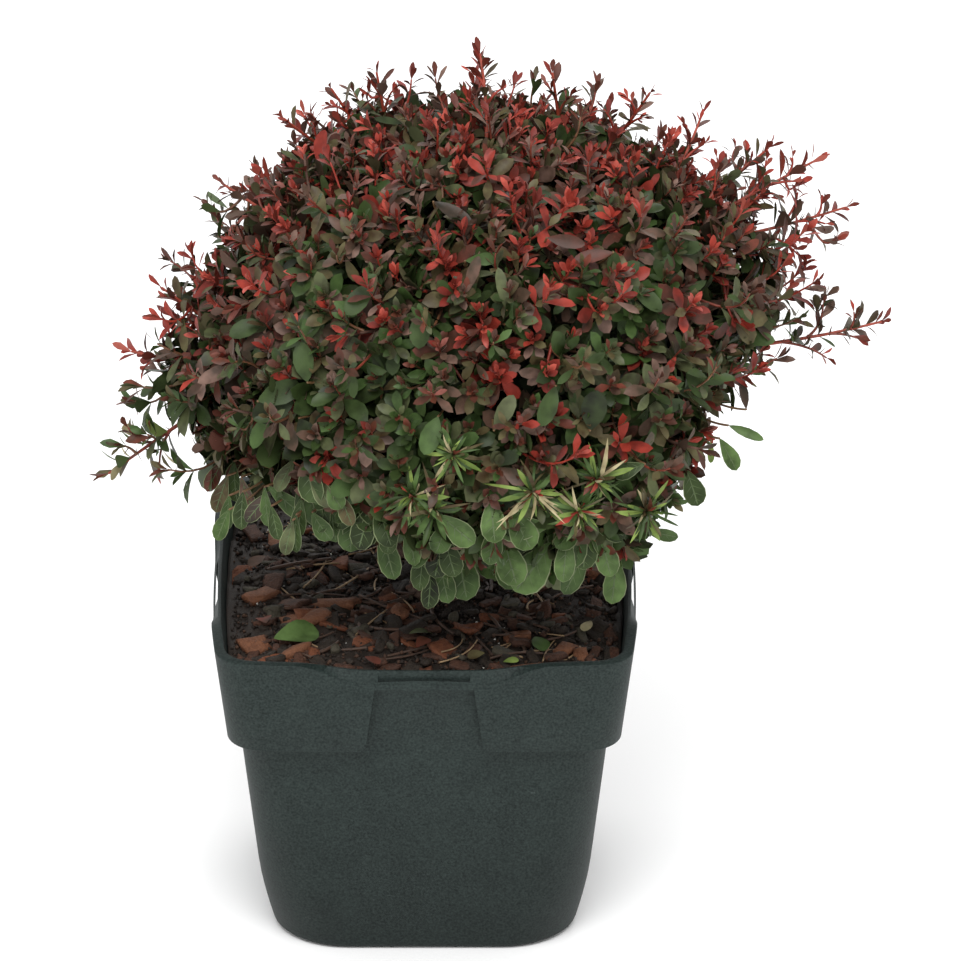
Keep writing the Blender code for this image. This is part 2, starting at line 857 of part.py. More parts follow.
def split_of(path):
    """The last point of the curve that belongs to the bough, short of the middle of its mass."""
    far = [step for step, point in enumerate(path) if (path[-1] - point).length > MASS_STEM_LENGTH]
    return far[-1]


def bough_path(index, sites):
    path, _ = limb_curve(index, sites)
    return path[: split_of(path) + 1]


def make_bough(index, sites):
    path, start_normal = limb_curve(index, sites)
    split = split_of(path)
    direction = (path[split + 1] - path[split]).normalized()
    own = path[: split + 1]
    radii = [BOUGH_ROOT_RADIUS + (BOUGH_TIP_RADIUS - BOUGH_ROOT_RADIUS) * i / split for i in range(split + 1)]
    points, faces = limb(own, radii, BOUGH_SIDES, start_normal, direction)
    bough = new_object(f"bough_{sites[index][0]}", points, faces)
    smooth_round(bough, 40)
    bough.data.materials.append(bark())
    return bough


def main():
    clear_scene()
    make_pot()
    make_soil()
    make_stem()
    sites = mass_sites()
    targets = twig_targets(sites)
    for index in range(len(sites)):
        make_bough(index, sites)
        make_mass(index, sites, targets)


main()
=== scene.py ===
import json
import math
import random

import bpy
import numpy as np
from mathutils import Matrix, Vector

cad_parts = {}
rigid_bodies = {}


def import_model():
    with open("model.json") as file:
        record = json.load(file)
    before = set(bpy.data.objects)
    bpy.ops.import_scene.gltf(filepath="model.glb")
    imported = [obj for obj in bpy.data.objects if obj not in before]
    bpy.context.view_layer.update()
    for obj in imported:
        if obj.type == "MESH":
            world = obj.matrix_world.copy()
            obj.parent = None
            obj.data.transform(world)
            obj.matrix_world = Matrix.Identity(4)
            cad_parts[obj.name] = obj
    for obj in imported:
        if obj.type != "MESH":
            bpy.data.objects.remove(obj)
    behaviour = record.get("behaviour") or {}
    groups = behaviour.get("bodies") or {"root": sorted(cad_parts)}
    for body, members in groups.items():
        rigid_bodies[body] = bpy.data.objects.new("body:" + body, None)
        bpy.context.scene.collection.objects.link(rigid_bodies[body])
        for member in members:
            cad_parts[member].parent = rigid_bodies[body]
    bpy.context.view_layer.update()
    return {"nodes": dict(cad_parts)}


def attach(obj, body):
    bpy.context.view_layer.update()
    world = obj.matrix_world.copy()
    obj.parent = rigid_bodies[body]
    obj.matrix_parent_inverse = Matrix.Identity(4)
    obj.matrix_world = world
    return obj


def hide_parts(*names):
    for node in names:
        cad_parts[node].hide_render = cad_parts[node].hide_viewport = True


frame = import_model()


# The camera stands in front of the plant and looks down on it at the photograph's angle,
# through a long lens, so that upright lines stay upright.
LOOK_AT = Vector((0.0272, 0.0, 0.2190))
CAMERA_DISTANCE = 8.0
CAMERA_ELEVATION = math.radians(26.75)
SENSOR_WIDTH = 36.0
FOCAL_LENGTH = 616.3
VIEW_END = 50.0

lens = bpy.data.cameras.new("camera")
lens.sensor_width = SENSOR_WIDTH
lens.lens = FOCAL_LENGTH
lens.clip_end = VIEW_END
camera = bpy.data.objects.new("camera", lens)
towards_camera = Vector((0.0, -math.cos(CAMERA_ELEVATION), math.sin(CAMERA_ELEVATION)))
camera.location = LOOK_AT + towards_camera * CAMERA_DISTANCE
camera.rotation_euler = towards_camera.to_track_quat("Z", "Y").to_euler()
bpy.context.scene.collection.objects.link(camera)
bpy.context.scene.camera = camera


# The floor is a plain sheet of white board. The light is a bright, even studio tent with one
# broad soft lamp above and before the plant and a weaker one behind it.
FLOOR_RADIUS = 30.0
FLOOR_CORNERS = 96
BOARD_DARK = (0.955, 0.955, 0.955, 1.0)
BOARD_LIGHT = (0.975, 0.975, 0.975, 1.0)
BOARD_ROUGHNESS = 0.9
BOARD_SHINE = 0.1
BOARD_CLOUDS = 6.0
LAMPS = (
    # name, place, width, watts
    ("front_lamp", (-0.05, -1.7, 2.7), 1.4, 60.0),
    ("back_lamp", (0.2, 2.2, 2.4), 1.8, 22.0),
)

world = bpy.data.worlds.new("studio")
bpy.context.scene.world = world
world.use_nodes = True
world.node_tree.nodes["Background"].inputs["Color"].default_value = (1.0, 1.0, 1.0, 1.0)
world.node_tree.nodes["Background"].inputs["Strength"].default_value = 1.0
bpy.context.scene.view_settings.view_transform = "Standard"
bpy.context.scene.view_settings.look = "None"


def soft_lamp(name, place, width, power):
    """A square lamp that faces the middle of the plant and isn't seen itself."""
    lamp = bpy.data.lights.new(name, "AREA")
    lamp.shape = "SQUARE"
    lamp.size = width
    lamp.energy = power
    made = bpy.data.objects.new(name, lamp)
    made.location = place
    made.rotation_euler = (Vector(place) - LOOK_AT).to_track_quat("Z", "Y").to_euler()
    made.visible_camera = False
    bpy.context.scene.collection.objects.link(made)


for lamp in LAMPS:
    soft_lamp(*lamp)


def shader_node(nodes, kind, inputs=None, **settings):
    """A new shader node, with its settings and the values of its inputs."""
    made = nodes.new("ShaderNode" + kind)
    for name, value in settings.items():
        setattr(made, name, value)
    for name, value in (inputs or {}).items():
        made.inputs[name].default_value = value
    return made


def wire(first, output, second, socket):
    """Joins an output of one node to an input of another."""
    first.id_data.links.new(first.outputs[output], second.inputs[socket])


def board_white():
    """Matt white board with a faint unevenness."""
    made = bpy.data.materials.new("board_white")
    made.use_nodes = True
    nodes = made.node_tree.nodes
    shader = nodes["Principled BSDF"]
    shader.inputs["Roughness"].default_value = BOARD_ROUGHNESS
    shader.inputs["Specular IOR Level"].default_value = BOARD_SHINE
    place = shader_node(nodes, "TexCoord")
    cloud = shader_node(nodes, "TexNoise", {"Scale": BOARD_CLOUDS})
    tints = {"A": BOARD_DARK, "B": BOARD_LIGHT}
    tint = shader_node(nodes, "Mix", tints, data_type="RGBA")
    wire(place, "Object", cloud, "Vector")
    wire(cloud, "Fac", tint, "Factor")
    wire(tint, "Result", shader, "Base Color")
    return made


def make_floor():
    points = [(0.0, 0.0, 0.0)]
    for step in range(FLOOR_CORNERS):
        angle = 2 * math.pi * step / FLOOR_CORNERS
        points.append((FLOOR_RADIUS * math.cos(angle), FLOOR_RADIUS * math.sin(angle), 0.0))
    faces = [(0, 1 + step, 1 + (step + 1) % FLOOR_CORNERS) for step in range(FLOOR_CORNERS)]
    mesh = bpy.data.meshes.new("floor")
    mesh.from_pydata(points, [], faces)
    floor = bpy.data.objects.new("floor", mesh)
    floor.data.materials.append(board_white())
    bpy.context.scene.collection.objects.link(floor)


make_floor()


# The pot is a tapered square tub of thin dark slate-grey plastic, injection moulded in one
# piece with a flange and a hanging collar. Each side has a notch and a slotted lip.
WALL = 0.0015
FLOOR = 0.0022
RIM_HEIGHT = 0.1705
RIM_HALF_WIDTH = 0.1016
RIM_CORNER_RADIUS = 0.018
RIM_EDGE = 0.0007
RIM_BOW = 0.0034
RIM_DIP = 0.0103
WALL_DIP = 0.0037
DIP_FULL = 0.027
DIP_NONE = 0.062
COLLAR_BOTTOM = 0.1203
COLLAR_MIDDLE = 0.140
COLLAR_BOTTOM_HALF_WIDTH = 0.0955
BODY_HALF_WIDTH = 0.0770
BODY_TAPER = 0.104
FLARE = 0.0034
BODY_CORNER_TOP = 0.016
BODY_CORNER_BASE = 0.036
TUCK = 0.0035
TUCK_HEIGHT = 0.040
TUCK_CURVE = 1.6
CORNER_CURVE = 1.5
LEAST_CORNER = 0.002
FOOT_EDGE = 0.003
NOTCH_TOP_HALF = 0.0240
NOTCH_BOTTOM_HALF = 0.0282
NOTCH_FILLET = 0.0045
LIP_HEIGHT = 0.003
LIP_THICKNESS = 0.0012
SLOT_HALF = 0.0222
SLOT_WALL = 0.0003
SLOT_DEPTH = 0.004
GROOVE_HALF = 0.015
GROOVE_DEPTH = 0.0012
GROOVE_START = 0.038
DRAIN_RADIUS = 0.0045
DRAIN_PLACE = 0.054
DRAIN_CORNERS = 24
FILLET_STEPS = 8
SHARP_ANGLE = 38
SOFTENED_ANGLE = 50
CUTTER_REACH = 0.125
POT_SIDE_STEPS = 28
POT_CORNER_STEPS = 10
EDGE_ROUND = 0.0005
EDGE_SHARE = 0.3
CUT_EDGE_ROUND = 0.0003
FOOT_LEVELS = (0.0, 0.0002, 0.0007, 0.0014, 0.0022, 0.003)
WALL_LEVELS = (0.006, 0.012, 0.018, 0.024, 0.033, 0.042, 0.060, 0.080, 0.100, COLLAR_BOTTOM)
PLASTIC_DARK = (0.0018, 0.0062, 0.0054)
PLASTIC_LIGHT = (0.0240, 0.0356, 0.0322)
SCUFF_GREY = (0.16, 0.19, 0.185, 1.0)
# Clouds to a metre, grains to a metre and the grain's share; then the relief's strength and depth
PLASTIC_GRAIN = (60.0, 900.0, 0.78)
PLASTIC_RELIEF = (0.30, 0.0002)
PLASTIC_SHINE = 0.22


def body_half(height):
    """Half the outer width of the tub's wall, which tucks in at its foot and flares in the collar."""
    tuck = TUCK * max(0.0, 1.0 - height / TUCK_HEIGHT) ** TUCK_CURVE
    flare = FLARE * max(0.0, (height - COLLAR_BOTTOM) / (RIM_HEIGHT - COLLAR_BOTTOM))
    return BODY_HALF_WIDTH + BODY_TAPER * height - tuck + flare


def body_corner(height):
    share = max(0.0, 1.0 - height / RIM_HEIGHT) ** CORNER_CURVE
    return BODY_CORNER_TOP + (BODY_CORNER_BASE - BODY_CORNER_TOP) * share


def foot_half(height):
    """The tub's wall with the rounded edge round its underside."""
    share = 1.0 - height / FOOT_EDGE
    return body_half(height) - FOOT_EDGE * (1.0 - math.sqrt(1.0 - share * share))


def collar_half(height):
    """Half the outer width of the collar, which hangs a little inwards."""
    share = (height - COLLAR_BOTTOM) / (RIM_HEIGHT - COLLAR_BOTTOM)
    return COLLAR_BOTTOM_HALF_WIDTH + (RIM_HALF_WIDTH - COLLAR_BOTTOM_HALF_WIDTH) * share


def collar_corner(height):
    return RIM_CORNER_RADIUS


def bow(height):
    """How far the middle of a side stands out at this height, pushed by the soil."""
    return RIM_BOW * (height / RIM_HEIGHT) ** 3


def rim_height(along, dip=RIM_DIP):
    """The rim's height at a distance from the middle of its side, where it dips."""
    share = (DIP_NONE - abs(along)) / (DIP_NONE - DIP_FULL)
    share = min(1.0, max(0.0, share))
    return RIM_HEIGHT - dip * share * share * (3.0 - 2.0 * share)


def square_ring(half_at, corner_at, level, inset=0.0, below=0.0, dip=RIM_DIP):
    """Points round a rounded square whose sides bow out. With no level it follows the rim."""

    def height_at(along):
        return rim_height(along, dip) - below if level is None else level

    corner_height = height_at(1.0)
    corner = max(LEAST_CORNER, corner_at(corner_height) - inset)
    flat = half_at(corner_height) - inset - corner
    points = []
    for side in range(4):
        turn = Matrix.Rotation(side * math.pi / 2, 3, "Z")
        for step in range(POT_SIDE_STEPS + 1):
            fraction = 2.0 * step / POT_SIDE_STEPS - 1.0
            along = fraction * flat
            height = height_at(along)
            out = half_at(height) - inset + bow(height) * (1.0 - fraction * fraction)
            points.append(turn @ Vector((along, -out, height)))
        for step in range(1, POT_CORNER_STEPS):
            angle = math.pi / 2 * step / POT_CORNER_STEPS
            across = flat + corner * math.sin(angle)
            out = flat + corner * math.cos(angle)
            points.append(turn @ Vector((across, -out, corner_height)))
    return points


def lofted(rings, first_middle, last_middle):
    """Points and faces of a skin over rings of equal count, closed by a fan at each end."""
    count = len(rings[0])
    points = [first_middle]
    for ring in rings:
        points.extend(ring)
    points.append(last_middle)
    last = len(points) - 1
    faces = []
    for i in range(count):
        j = (i + 1) % count
        faces.append((0, 1 + j, 1 + i))
        faces.append((last, last - count + i, last - count + j))
        for level in range(len(rings) - 1):
            low = 1 + level * count
            faces.append((low + i, low + j, low + count + j, low + count + i))
    return points, faces


def shown_object(name, points, faces, material, smooth=True):
    """One mesh object in the scene, from lists of points and faces."""
    mesh = bpy.data.meshes.new(name)
    mesh.from_pydata([tuple(point) for point in points], [], faces)
    mesh.update()
    if smooth:
        mesh.shade_smooth()
    made = bpy.data.objects.new(name, mesh)
    if material is not None:
        made.data.materials.append(material)
    bpy.context.scene.collection.objects.link(made)
    return made


def block(near, far):
    """A closed solid between two outlines of the same number of points."""
    count = len(near)
    faces = [tuple(range(count)), tuple(range(2 * count - 1, count - 1, -1))]
    for i in range(count):
        j = (i + 1) % count
        faces.append((i, count + i, count + j, j))
    return near + far, faces


def prism(outline, inner_at, outer):
    """A cutter on the front side: an outline of (across, height), from inner_at(height) outwards."""
    near = [Vector((across, -inner_at(height), height)) for across, height in outline]
    far = [Vector((across, -outer, height)) for across, height in outline]
    return block(near, far)


def notch_outline():
    """The gap in the collar, with a fillet where each of its sides meets the lower edge."""
    right = [(NOTCH_TOP_HALF, rim_height(0.0) - LIP_HEIGHT)]
    for step in range(FILLET_STEPS + 1):
        angle = math.pi / 2 * step / FILLET_STEPS
        across = NOTCH_BOTTOM_HALF + NOTCH_FILLET * (1.0 - math.cos(angle))
        right.append((across, COLLAR_BOTTOM + NOTCH_FILLET * (1.0 - math.sin(angle))))
    right.append((NOTCH_BOTTOM_HALF + NOTCH_FILLET, COLLAR_BOTTOM - 3 * WALL))
    return right + [(-across, height) for across, height in reversed(right)]


def channel_middle(height):
    """Halfway between the tub's wall and the collar, on a straight line up the gap."""
    top = rim_height(0.0)
    share = (height - COLLAR_BOTTOM) / (top - COLLAR_BOTTOM)
    ends = []
    for level in (COLLAR_BOTTOM, top):
        ends.append((body_half(level) + collar_half(level) - WALL) / 2 + bow(level))
    return ends[0] + (ends[1] - ends[0]) * share


def slot_inner(height):
    """The slot's side by the tub, which follows the slant of the tub's wall."""
    return body_half(height) + bow(height) + SLOT_WALL


def box_outline(half, low, high):
    return [(half, high), (half, low), (-half, low), (-half, high)]


def drain_hole():
    """A short round plug through the floor of the tub."""
    low = []
    for step in range(DRAIN_CORNERS):
        angle = 2 * math.pi * step / DRAIN_CORNERS
        across = DRAIN_RADIUS * math.cos(angle)
        low.append(Vector((across, DRAIN_RADIUS * math.sin(angle) - DRAIN_PLACE, -WALL)))
    high = [point + Vector((0, 0, FLOOR + 2 * WALL)) for point in low]
    return block(high, low)


def cut_pot(pot):
    """Cuts the notch, the slot, the drain groove and the drain hole of all four sides."""
    top = rim_height(0.0)
    slot_outer = collar_half(top) + bow(top) - LIP_THICKNESS
    slot = box_outline(SLOT_HALF, top - SLOT_DEPTH, RIM_HEIGHT)
    groove = box_outline(GROOVE_HALF, -WALL, GROOVE_DEPTH)
    shapes = (
        prism(notch_outline(), channel_middle, CUTTER_REACH),
        prism(slot, slot_inner, slot_outer),
        prism(groove, lambda height: GROOVE_START, CUTTER_REACH),
        drain_hole(),
    )
    cutters = bpy.data.collections.new("pot_cutters")
    bpy.context.scene.collection.children.link(cutters)
    for number, (points, faces) in enumerate(shapes):
        for side in range(4):
            cutter = shown_object(f"cutter_{number}_{side}", points, faces, None, smooth=False)
            cutter.rotation_euler.z = side * math.pi / 2
            bpy.context.scene.collection.objects.unlink(cutter)
            cutters.objects.link(cutter)
    cuts = pot.modifiers.new("cuts", "BOOLEAN")
    cuts.operation = "DIFFERENCE"
    cuts.solver = "EXACT"
    cuts.operand_type = "COLLECTION"
    cuts.collection = cutters
    soften = pot.modifiers.new("soften", "BEVEL")
    soften.width = CUT_EDGE_ROUND
    soften.segments = 2
    soften.limit_method = "ANGLE"
    soften.angle_limit = math.radians(SOFTENED_ANGLE)
    bpy.context.view_layer.update()
    graph = bpy.context.evaluated_depsgraph_get()
    mesh = bpy.data.meshes.new_from_object(pot.evaluated_get(graph))
    pot.modifiers.clear()
    pot.data = mesh
    for cutter in list(cutters.objects):
        bpy.data.objects.remove(cutter, do_unlink=True)
    bpy.data.collections.remove(cutters)
    pot.data.shade_smooth()
    pot.data.set_sharp_from_angle(angle=math.radians(SHARP_ANGLE))


def group_of(name, inputs, outputs):
    """An empty shader node group with the named sockets, and its two end nodes."""
    group = bpy.data.node_groups.new(name, "ShaderNodeTree")
    for socket, kind, value in inputs:
        made = group.interface.new_socket(socket, in_out="INPUT", socket_type=kind)
        made.default_value = value
    for socket, kind in outputs:
        group.interface.new_socket(socket, in_out="OUTPUT", socket_type=kind)
    return group, group.nodes.new("NodeGroupInput"), group.nodes.new("NodeGroupOutput")


def mottle_group():
    """Two colours mixed by soft clouds and by a fine grain, with the grain's height."""
    group, given, result = group_of(
        "mottle",
        (
            ("Colour A", "NodeSocketColor", (0.1, 0.1, 0.1, 1.0)),
            ("Colour B", "NodeSocketColor", (0.2, 0.2, 0.2, 1.0)),
            ("Cloud Scale", "NodeSocketFloat", 20.0),
            ("Grain Scale", "NodeSocketFloat", 900.0),
            ("Grain Share", "NodeSocketFloat", 0.4),
        ),
        (("Colour", "NodeSocketColor"), ("Height", "NodeSocketFloat"), ("Cloud", "NodeSocketFloat")),
    )
    nodes = group.nodes
    place = shader_node(nodes, "TexCoord")
    cloud = shader_node(nodes, "TexNoise", {"Detail": 3.0})
    grain = shader_node(nodes, "TexNoise", {"Detail": 2.0})
    spread = shader_node(nodes, "MapRange", {"From Min": 0.3, "From Max": 0.7})
    both = shader_node(nodes, "Mix")
    tint = shader_node(nodes, "Mix", data_type="RGBA")
    wire(place, "Object", cloud, "Vector")
    wire(place, "Object", grain, "Vector")
    wire(given, "Cloud Scale", cloud, "Scale")
    wire(given, "Grain Scale", grain, "Scale")
    wire(cloud, "Fac", both, "A")
    wire(grain, "Fac", both, "B")
    wire(given, "Grain Share", both, "Factor")
    wire(both, "Result", spread, "Value")
    wire(spread, "Result", tint, "Factor")
    wire(given, "Colour A", tint, "A")
    wire(given, "Colour B", tint, "B")
    wire(tint, "Result", result, "Colour")
    wire(grain, "Fac", result, "Height")
    wire(cloud, "Fac", result, "Cloud")
    return group


MOTTLE = mottle_group()


def mottled(name, colour_a, colour_b, cloud_scale, grain_scale, grain_share):
    """A material with the mottle group in it. Returns the material, its shader and the group node."""
    made = bpy.data.materials.new(name)
    made.use_nodes = True
    nodes = made.node_tree.nodes
    given = {
        "Colour A": (*colour_a, 1.0),
        "Colour B": (*colour_b, 1.0),
        "Cloud Scale": cloud_scale,
        "Grain Scale": grain_scale,
        "Grain Share": grain_share,
    }
    shader = nodes["Principled BSDF"]
    mottle = shader_node(nodes, "Group", given, node_tree=MOTTLE)
    wire(mottle, "Colour", shader, "Base Color")
    return made, shader, mottle


def relief(made, mottle, strength, distance):
    """Feeds the grain's height into the material's shader as a bump."""
    nodes = made.node_tree.nodes
    bump = shader_node(nodes, "Bump", {"Strength": strength, "Distance": distance})
    wire(mottle, "Height", bump, "Height")
    wire(bump, "Normal", nodes["Principled BSDF"], "Normal")


def moulded_plastic():
    """Slate-grey plastic: fine matt grain, painted shade that darkens it near the ground, and pale scuffs."""
    made, shader, mottle = mottled("moulded_plastic", PLASTIC_DARK, PLASTIC_LIGHT, *PLASTIC_GRAIN)
    nodes = made.node_tree.nodes
    shader.inputs["Specular IOR Level"].default_value = PLASTIC_SHINE
    place = shader_node(nodes, "TexCoord")
    parts = shader_node(nodes, "SeparateXYZ")
    wire(place, "Object", parts, "Vector")
    # Painted shade: the plastic's colour is darkened towards the ground.
    painted_shade_below = {"From Min": 0.0, "From Max": 0.12, "To Min": 0.72, "To Max": 1.0}
    painted_shade_mask = shader_node(nodes, "MapRange", painted_shade_below)
    wire(parts, "Z", painted_shade_mask, "Value")
    shade = shader_node(nodes, "VectorMath", operation="SCALE")
    wire(mottle, "Colour", shade, 0)
    wire(painted_shade_mask, "Result", shade, "Scale")
    flat_streaks = {"Scale": (60.0, 60.0, 190.0), "Rotation": (0.3, 0.2, 0.0)}
    stretch = shader_node(nodes, "Mapping", flat_streaks)
    wire(place, "Object", stretch, "Vector")
    scratch = shader_node(nodes, "TexNoise", {"Scale": 1.0, "Detail": 6.0, "Roughness": 0.7})
    wire(stretch, "Vector", scratch, "Vector")
    few = {"From Min": 0.685, "From Max": 0.76, "To Max": 0.55}
    scuff = shader_node(nodes, "MapRange", few)
    wire(scratch, "Fac", scuff, "Value")
    worn = shader_node(nodes, "Mix", {"B": SCUFF_GREY}, data_type="RGBA")
    wire(shade, "Vector", worn, "A")
    wire(scuff, "Result", worn, "Factor")
    wire(worn, "Result", shader, "Base Color")
    rough = shader_node(nodes, "MapRange", {"To Min": 0.50, "To Max": 0.66})
    wire(mottle, "Cloud", rough, "Value")
    wire(rough, "Result", shader, "Roughness")
    relief(made, mottle, *PLASTIC_RELIEF)
    return made


def make_pot():
    """The tub, its flange and its collar as one skin with rounded edges, then the cuts."""
    rings = [square_ring(foot_half, body_corner, level) for level in FOOT_LEVELS]
    rings += [square_ring(body_half, body_corner, level) for level in WALL_LEVELS]
    rings.append(square_ring(body_half, body_corner, None, below=WALL))
    rings.append(square_ring(collar_half, collar_corner, None, inset=WALL, below=WALL))
    slight = EDGE_SHARE * EDGE_ROUND
    lower_edge = (
        (WALL, EDGE_ROUND),
        (WALL - slight, slight),
        (WALL - EDGE_ROUND, 0.0),
        (EDGE_ROUND, 0.0),
        (slight, slight),
        (0.0, EDGE_ROUND),
    )
    for inset, rise in lower_edge:
        rings.append(square_ring(collar_half, collar_corner, COLLAR_BOTTOM + rise, inset=inset))
    rings.append(square_ring(collar_half, collar_corner, COLLAR_MIDDLE))
    for step in range(4):
        angle = math.pi / 2 * step / 3
        inset = RIM_EDGE * (1.0 - math.cos(angle))
        rings.append(square_ring(collar_half, collar_corner, None, inset, RIM_EDGE * (1.0 - math.sin(angle))))
    rings.append(square_ring(body_half, body_corner, None, 0.0, 0.0, WALL_DIP))
    for step in range(3):
        angle = math.pi / 2 * step / 2
        inset = WALL - EDGE_ROUND + EDGE_ROUND * math.sin(angle)
        below = EDGE_ROUND * (1.0 - math.cos(angle))
        rings.append(square_ring(body_half, body_corner, None, inset, below, WALL_DIP))
    rings += [square_ring(body_half, body_corner, level, WALL) for level in reversed(WALL_LEVELS)]
    rings.append(square_ring(body_half, body_corner, FLOOR, WALL))
    points, faces = lofted(rings, Vector((0, 0, 0)), Vector((0, 0, FLOOR)))
    pot = shown_object("nursery_pot", points, faces, None)
    cut_pot(pot)
    pot.data.materials.clear()
    pot.data.materials.append(moulded_plastic())
    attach(pot, "root")
    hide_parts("pot")


make_pot()


# The soil is moist, nearly black bark compost that fills the tub to just under the rim. Its
# top is lumpy and granular, and it is flat only where the stem stands.
SOIL_CLEARANCE = 0.0003
SOIL_TOP = 0.1595
SOIL_EDGE = 0.1570
SOIL_FLAT_START = 0.016
SOIL_FLAT_RADIUS = 0.040
SOIL_SHOULDER = 0.093
SOIL_SHOULDER_WIDTH = 0.012
SOIL_LEVELS = (0.012, 0.042, 0.117)
SOIL_LUMPS = (
    # height, distance from one to the next, seed
    (0.0018, 0.016, 3),
    (0.0011, 0.0062, 4),
    (0.0007, 0.0028, 5),
)
LUMP_TABLE = 64
STEM_FOOT = Vector((0.006, 0.0, SOIL_TOP + SOIL_CLEARANCE))
SOIL_RINGS = 58
DAMP_BLACK = (0.011, 0.008, 0.006)
DAMP_BROWN = (0.030, 0.019, 0.013)
COMPOST_ROUGHNESS = 0.7
# Clouds and grains to a metre and the grain's share, the relief's strength and depth, the shine
COMPOST_FINISH = ((160.0, 1500.0, 0.5), (0.6, 0.0006), 0.4)


def lumps(x, y, cell, seed):
    """Smooth random lumps from -1 to 1, about one to a cell."""
    table = np.random.default_rng(seed).uniform(-1.0, 1.0, (LUMP_TABLE, LUMP_TABLE))
    across = x / cell
    along = y / cell
    i = np.floor(across).astype(int)
    j = np.floor(along).astype(int)
    a = across - i
    b = along - j
    a = a * a * (3.0 - 2.0 * a)
    b = b * b * (3.0 - 2.0 * b)
    ends = []
    for row in (j, j + 1):
        first = table[i % LUMP_TABLE, row % LUMP_TABLE]
        second = table[(i + 1) % LUMP_TABLE, row % LUMP_TABLE]
        ends.append(first * (1.0 - a) + second * a)
    return ends[0] * (1.0 - b) + ends[1] * b


def soil_surface(x, y):
    """The height of the compost's top."""
    x = np.asarray(x, float)
    y = np.asarray(y, float)
    from_stem = np.hypot(x - STEM_FOOT.x, y)
    rough = np.clip((from_stem - SOIL_FLAT_START) / SOIL_FLAT_RADIUS, 0.0, 1.0)
    from_wall = SOIL_SHOULDER - np.maximum(abs(x), abs(y))
    height = SOIL_EDGE + (SOIL_TOP - SOIL_EDGE) * np.clip(from_wall / SOIL_SHOULDER_WIDTH, 0.0, 1.0)
    for rise, cell, seed in SOIL_LUMPS:
        height += rough * rise * lumps(x, y, cell, seed)
    return height


def grainy(name, dark, light, roughness, finish):
    """A mottled material whose grain stands out as a relief."""
    grain, raised, shine = finish
    made, shader, mottle = mottled(name, dark, light, *grain)
    shader.inputs["Roughness"].default_value = roughness
    shader.inputs["Specular IOR Level"].default_value = shine
    relief(made, mottle, *raised)
    return made


def make_soil():
    """A closed block of compost: sides and bottom along the tub, and a fine lumpy top."""
    clear = WALL + SOIL_CLEARANCE
    floor = FLOOR + SOIL_CLEARANCE
    rings = [square_ring(body_half, body_corner, level, clear) for level in (floor, *SOIL_LEVELS)]
    edge = square_ring(body_half, body_corner, SOIL_EDGE, clear)
    rings.append([Vector((p.x, p.y, soil_surface(p.x, p.y))) for p in edge])
    for step in range(1, SOIL_RINGS):
        fraction = 1.0 - step / SOIL_RINGS
        flat = [(p.x * fraction, p.y * fraction) for p in edge]
        rings.append([Vector((x, y, soil_surface(x, y))) for x, y in flat])
    points, faces = lofted(rings, Vector((0, 0, floor)), Vector((0, 0, SOIL_TOP)))
    compost = grainy("damp_compost", DAMP_BLACK, DAMP_BROWN, COMPOST_ROUGHNESS, COMPOST_FINISH)
    soil = shown_object("compost_bed", points, faces, compost)
    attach(soil, "root")
    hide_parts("soil")


make_soil()


# Bark chips, crumbs, white grit, straws and fallen leaves lie on the compost. They are chipped
# pine bark and litter, thrown on by hand, so they lie at all angles and partly sunk.
LITTER_HALF = 0.0920
CRUMB_HALF = 0.0935
STRAW_HALF = 0.080
WALL_REACH = 0.0942
CORNER_REACH = 0.168
CHIP_CORNERS = 8
CHIP_CORNER_REACH = (0.74, 1.1)
CHIP_SQUARENESS = 0.75
CHIP_RISE = (0.1, 0.7)
CHIP_UNEVENNESS = 0.16
CHIP_CROWN = (0.35, 0.62)
CHIP_SLENDER = (0.35, 0.75)
CHIP_THICKNESS = (0.0012, 0.0034)
CHIP_TILT = 0.45
CHIP_ROUGHNESS = 0.72
CHIP_FINISH = ((210.0, 900.0, 0.5), (0.8, 0.0008), 0.3)
CHIP_LAYERS = (
    # share of the width, share of the thickness above the middle
    (0.93, -0.5),
    (1.0, -0.1),
    (0.97, 0.32),
    (0.78, 0.5),
)
LARGE_CHIP_THICKNESS = 0.0042
LARGE_CHIP_RISE = 0.0019
LARGE_CHIP_LEAN = 0.2
LARGE_CHIP_SEED = 25
LARGE_CHIP_TINTS = ((0.095, 0.036, 0.018), (0.215, 0.088, 0.043))
STRAW_RISE = 0.0018
STRAW_POINTS = 7


def unit(vectors):
    return vectors / np.maximum(np.linalg.norm(vectors, axis=-1, keepdims=True), 1e-12)


def joined(name, points, triangles, material, slot_name, smooth=True):
    """One piece from arrays of points and triangles, riding on the pot."""
    points = np.asarray(points, np.float32).reshape(-1, 3)
    triangles = np.asarray(triangles, np.int32).reshape(-1, 3)
    mesh = bpy.data.meshes.new(name)
    mesh.vertices.add(len(points))
    mesh.vertices.foreach_set("co", points.ravel())
    mesh.loops.add(3 * len(triangles))
    mesh.loops.foreach_set("vertex_index", triangles.ravel())
    mesh.polygons.add(len(triangles))
    mesh.polygons.foreach_set("loop_start", np.arange(0, 3 * len(triangles), 3, dtype=np.int32))
    mesh.update(calc_edges=True)
    mesh.validate()
    if smooth:
        mesh.shade_smooth()
    made = bpy.data.objects.new(name, mesh)
    made.data.materials.append(material)
    bpy.context.scene.collection.objects.link(made)
    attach(made, "root")
    return made


def many(template, triangles):
    """Joins copies of one shape: template points are (copies, points, 3)."""
    copies, count, _ = template.shape
    step = (np.arange(copies) * count)[:, None, None]
    return template.reshape(-1, 3), (np.asarray(triangles)[None] + step).reshape(-1, 3)


def scattered(rng, count, half=LITTER_HALF):
    """Even random places inside the rim, drawn in from its round corners."""
    x = rng.uniform(-half, half, count)
    y = rng.uniform(-half, half, count)
    over = np.maximum(0.0, abs(x) + abs(y) - CORNER_REACH) / 2
    return x - np.sign(x) * over, y - np.sign(y) * over


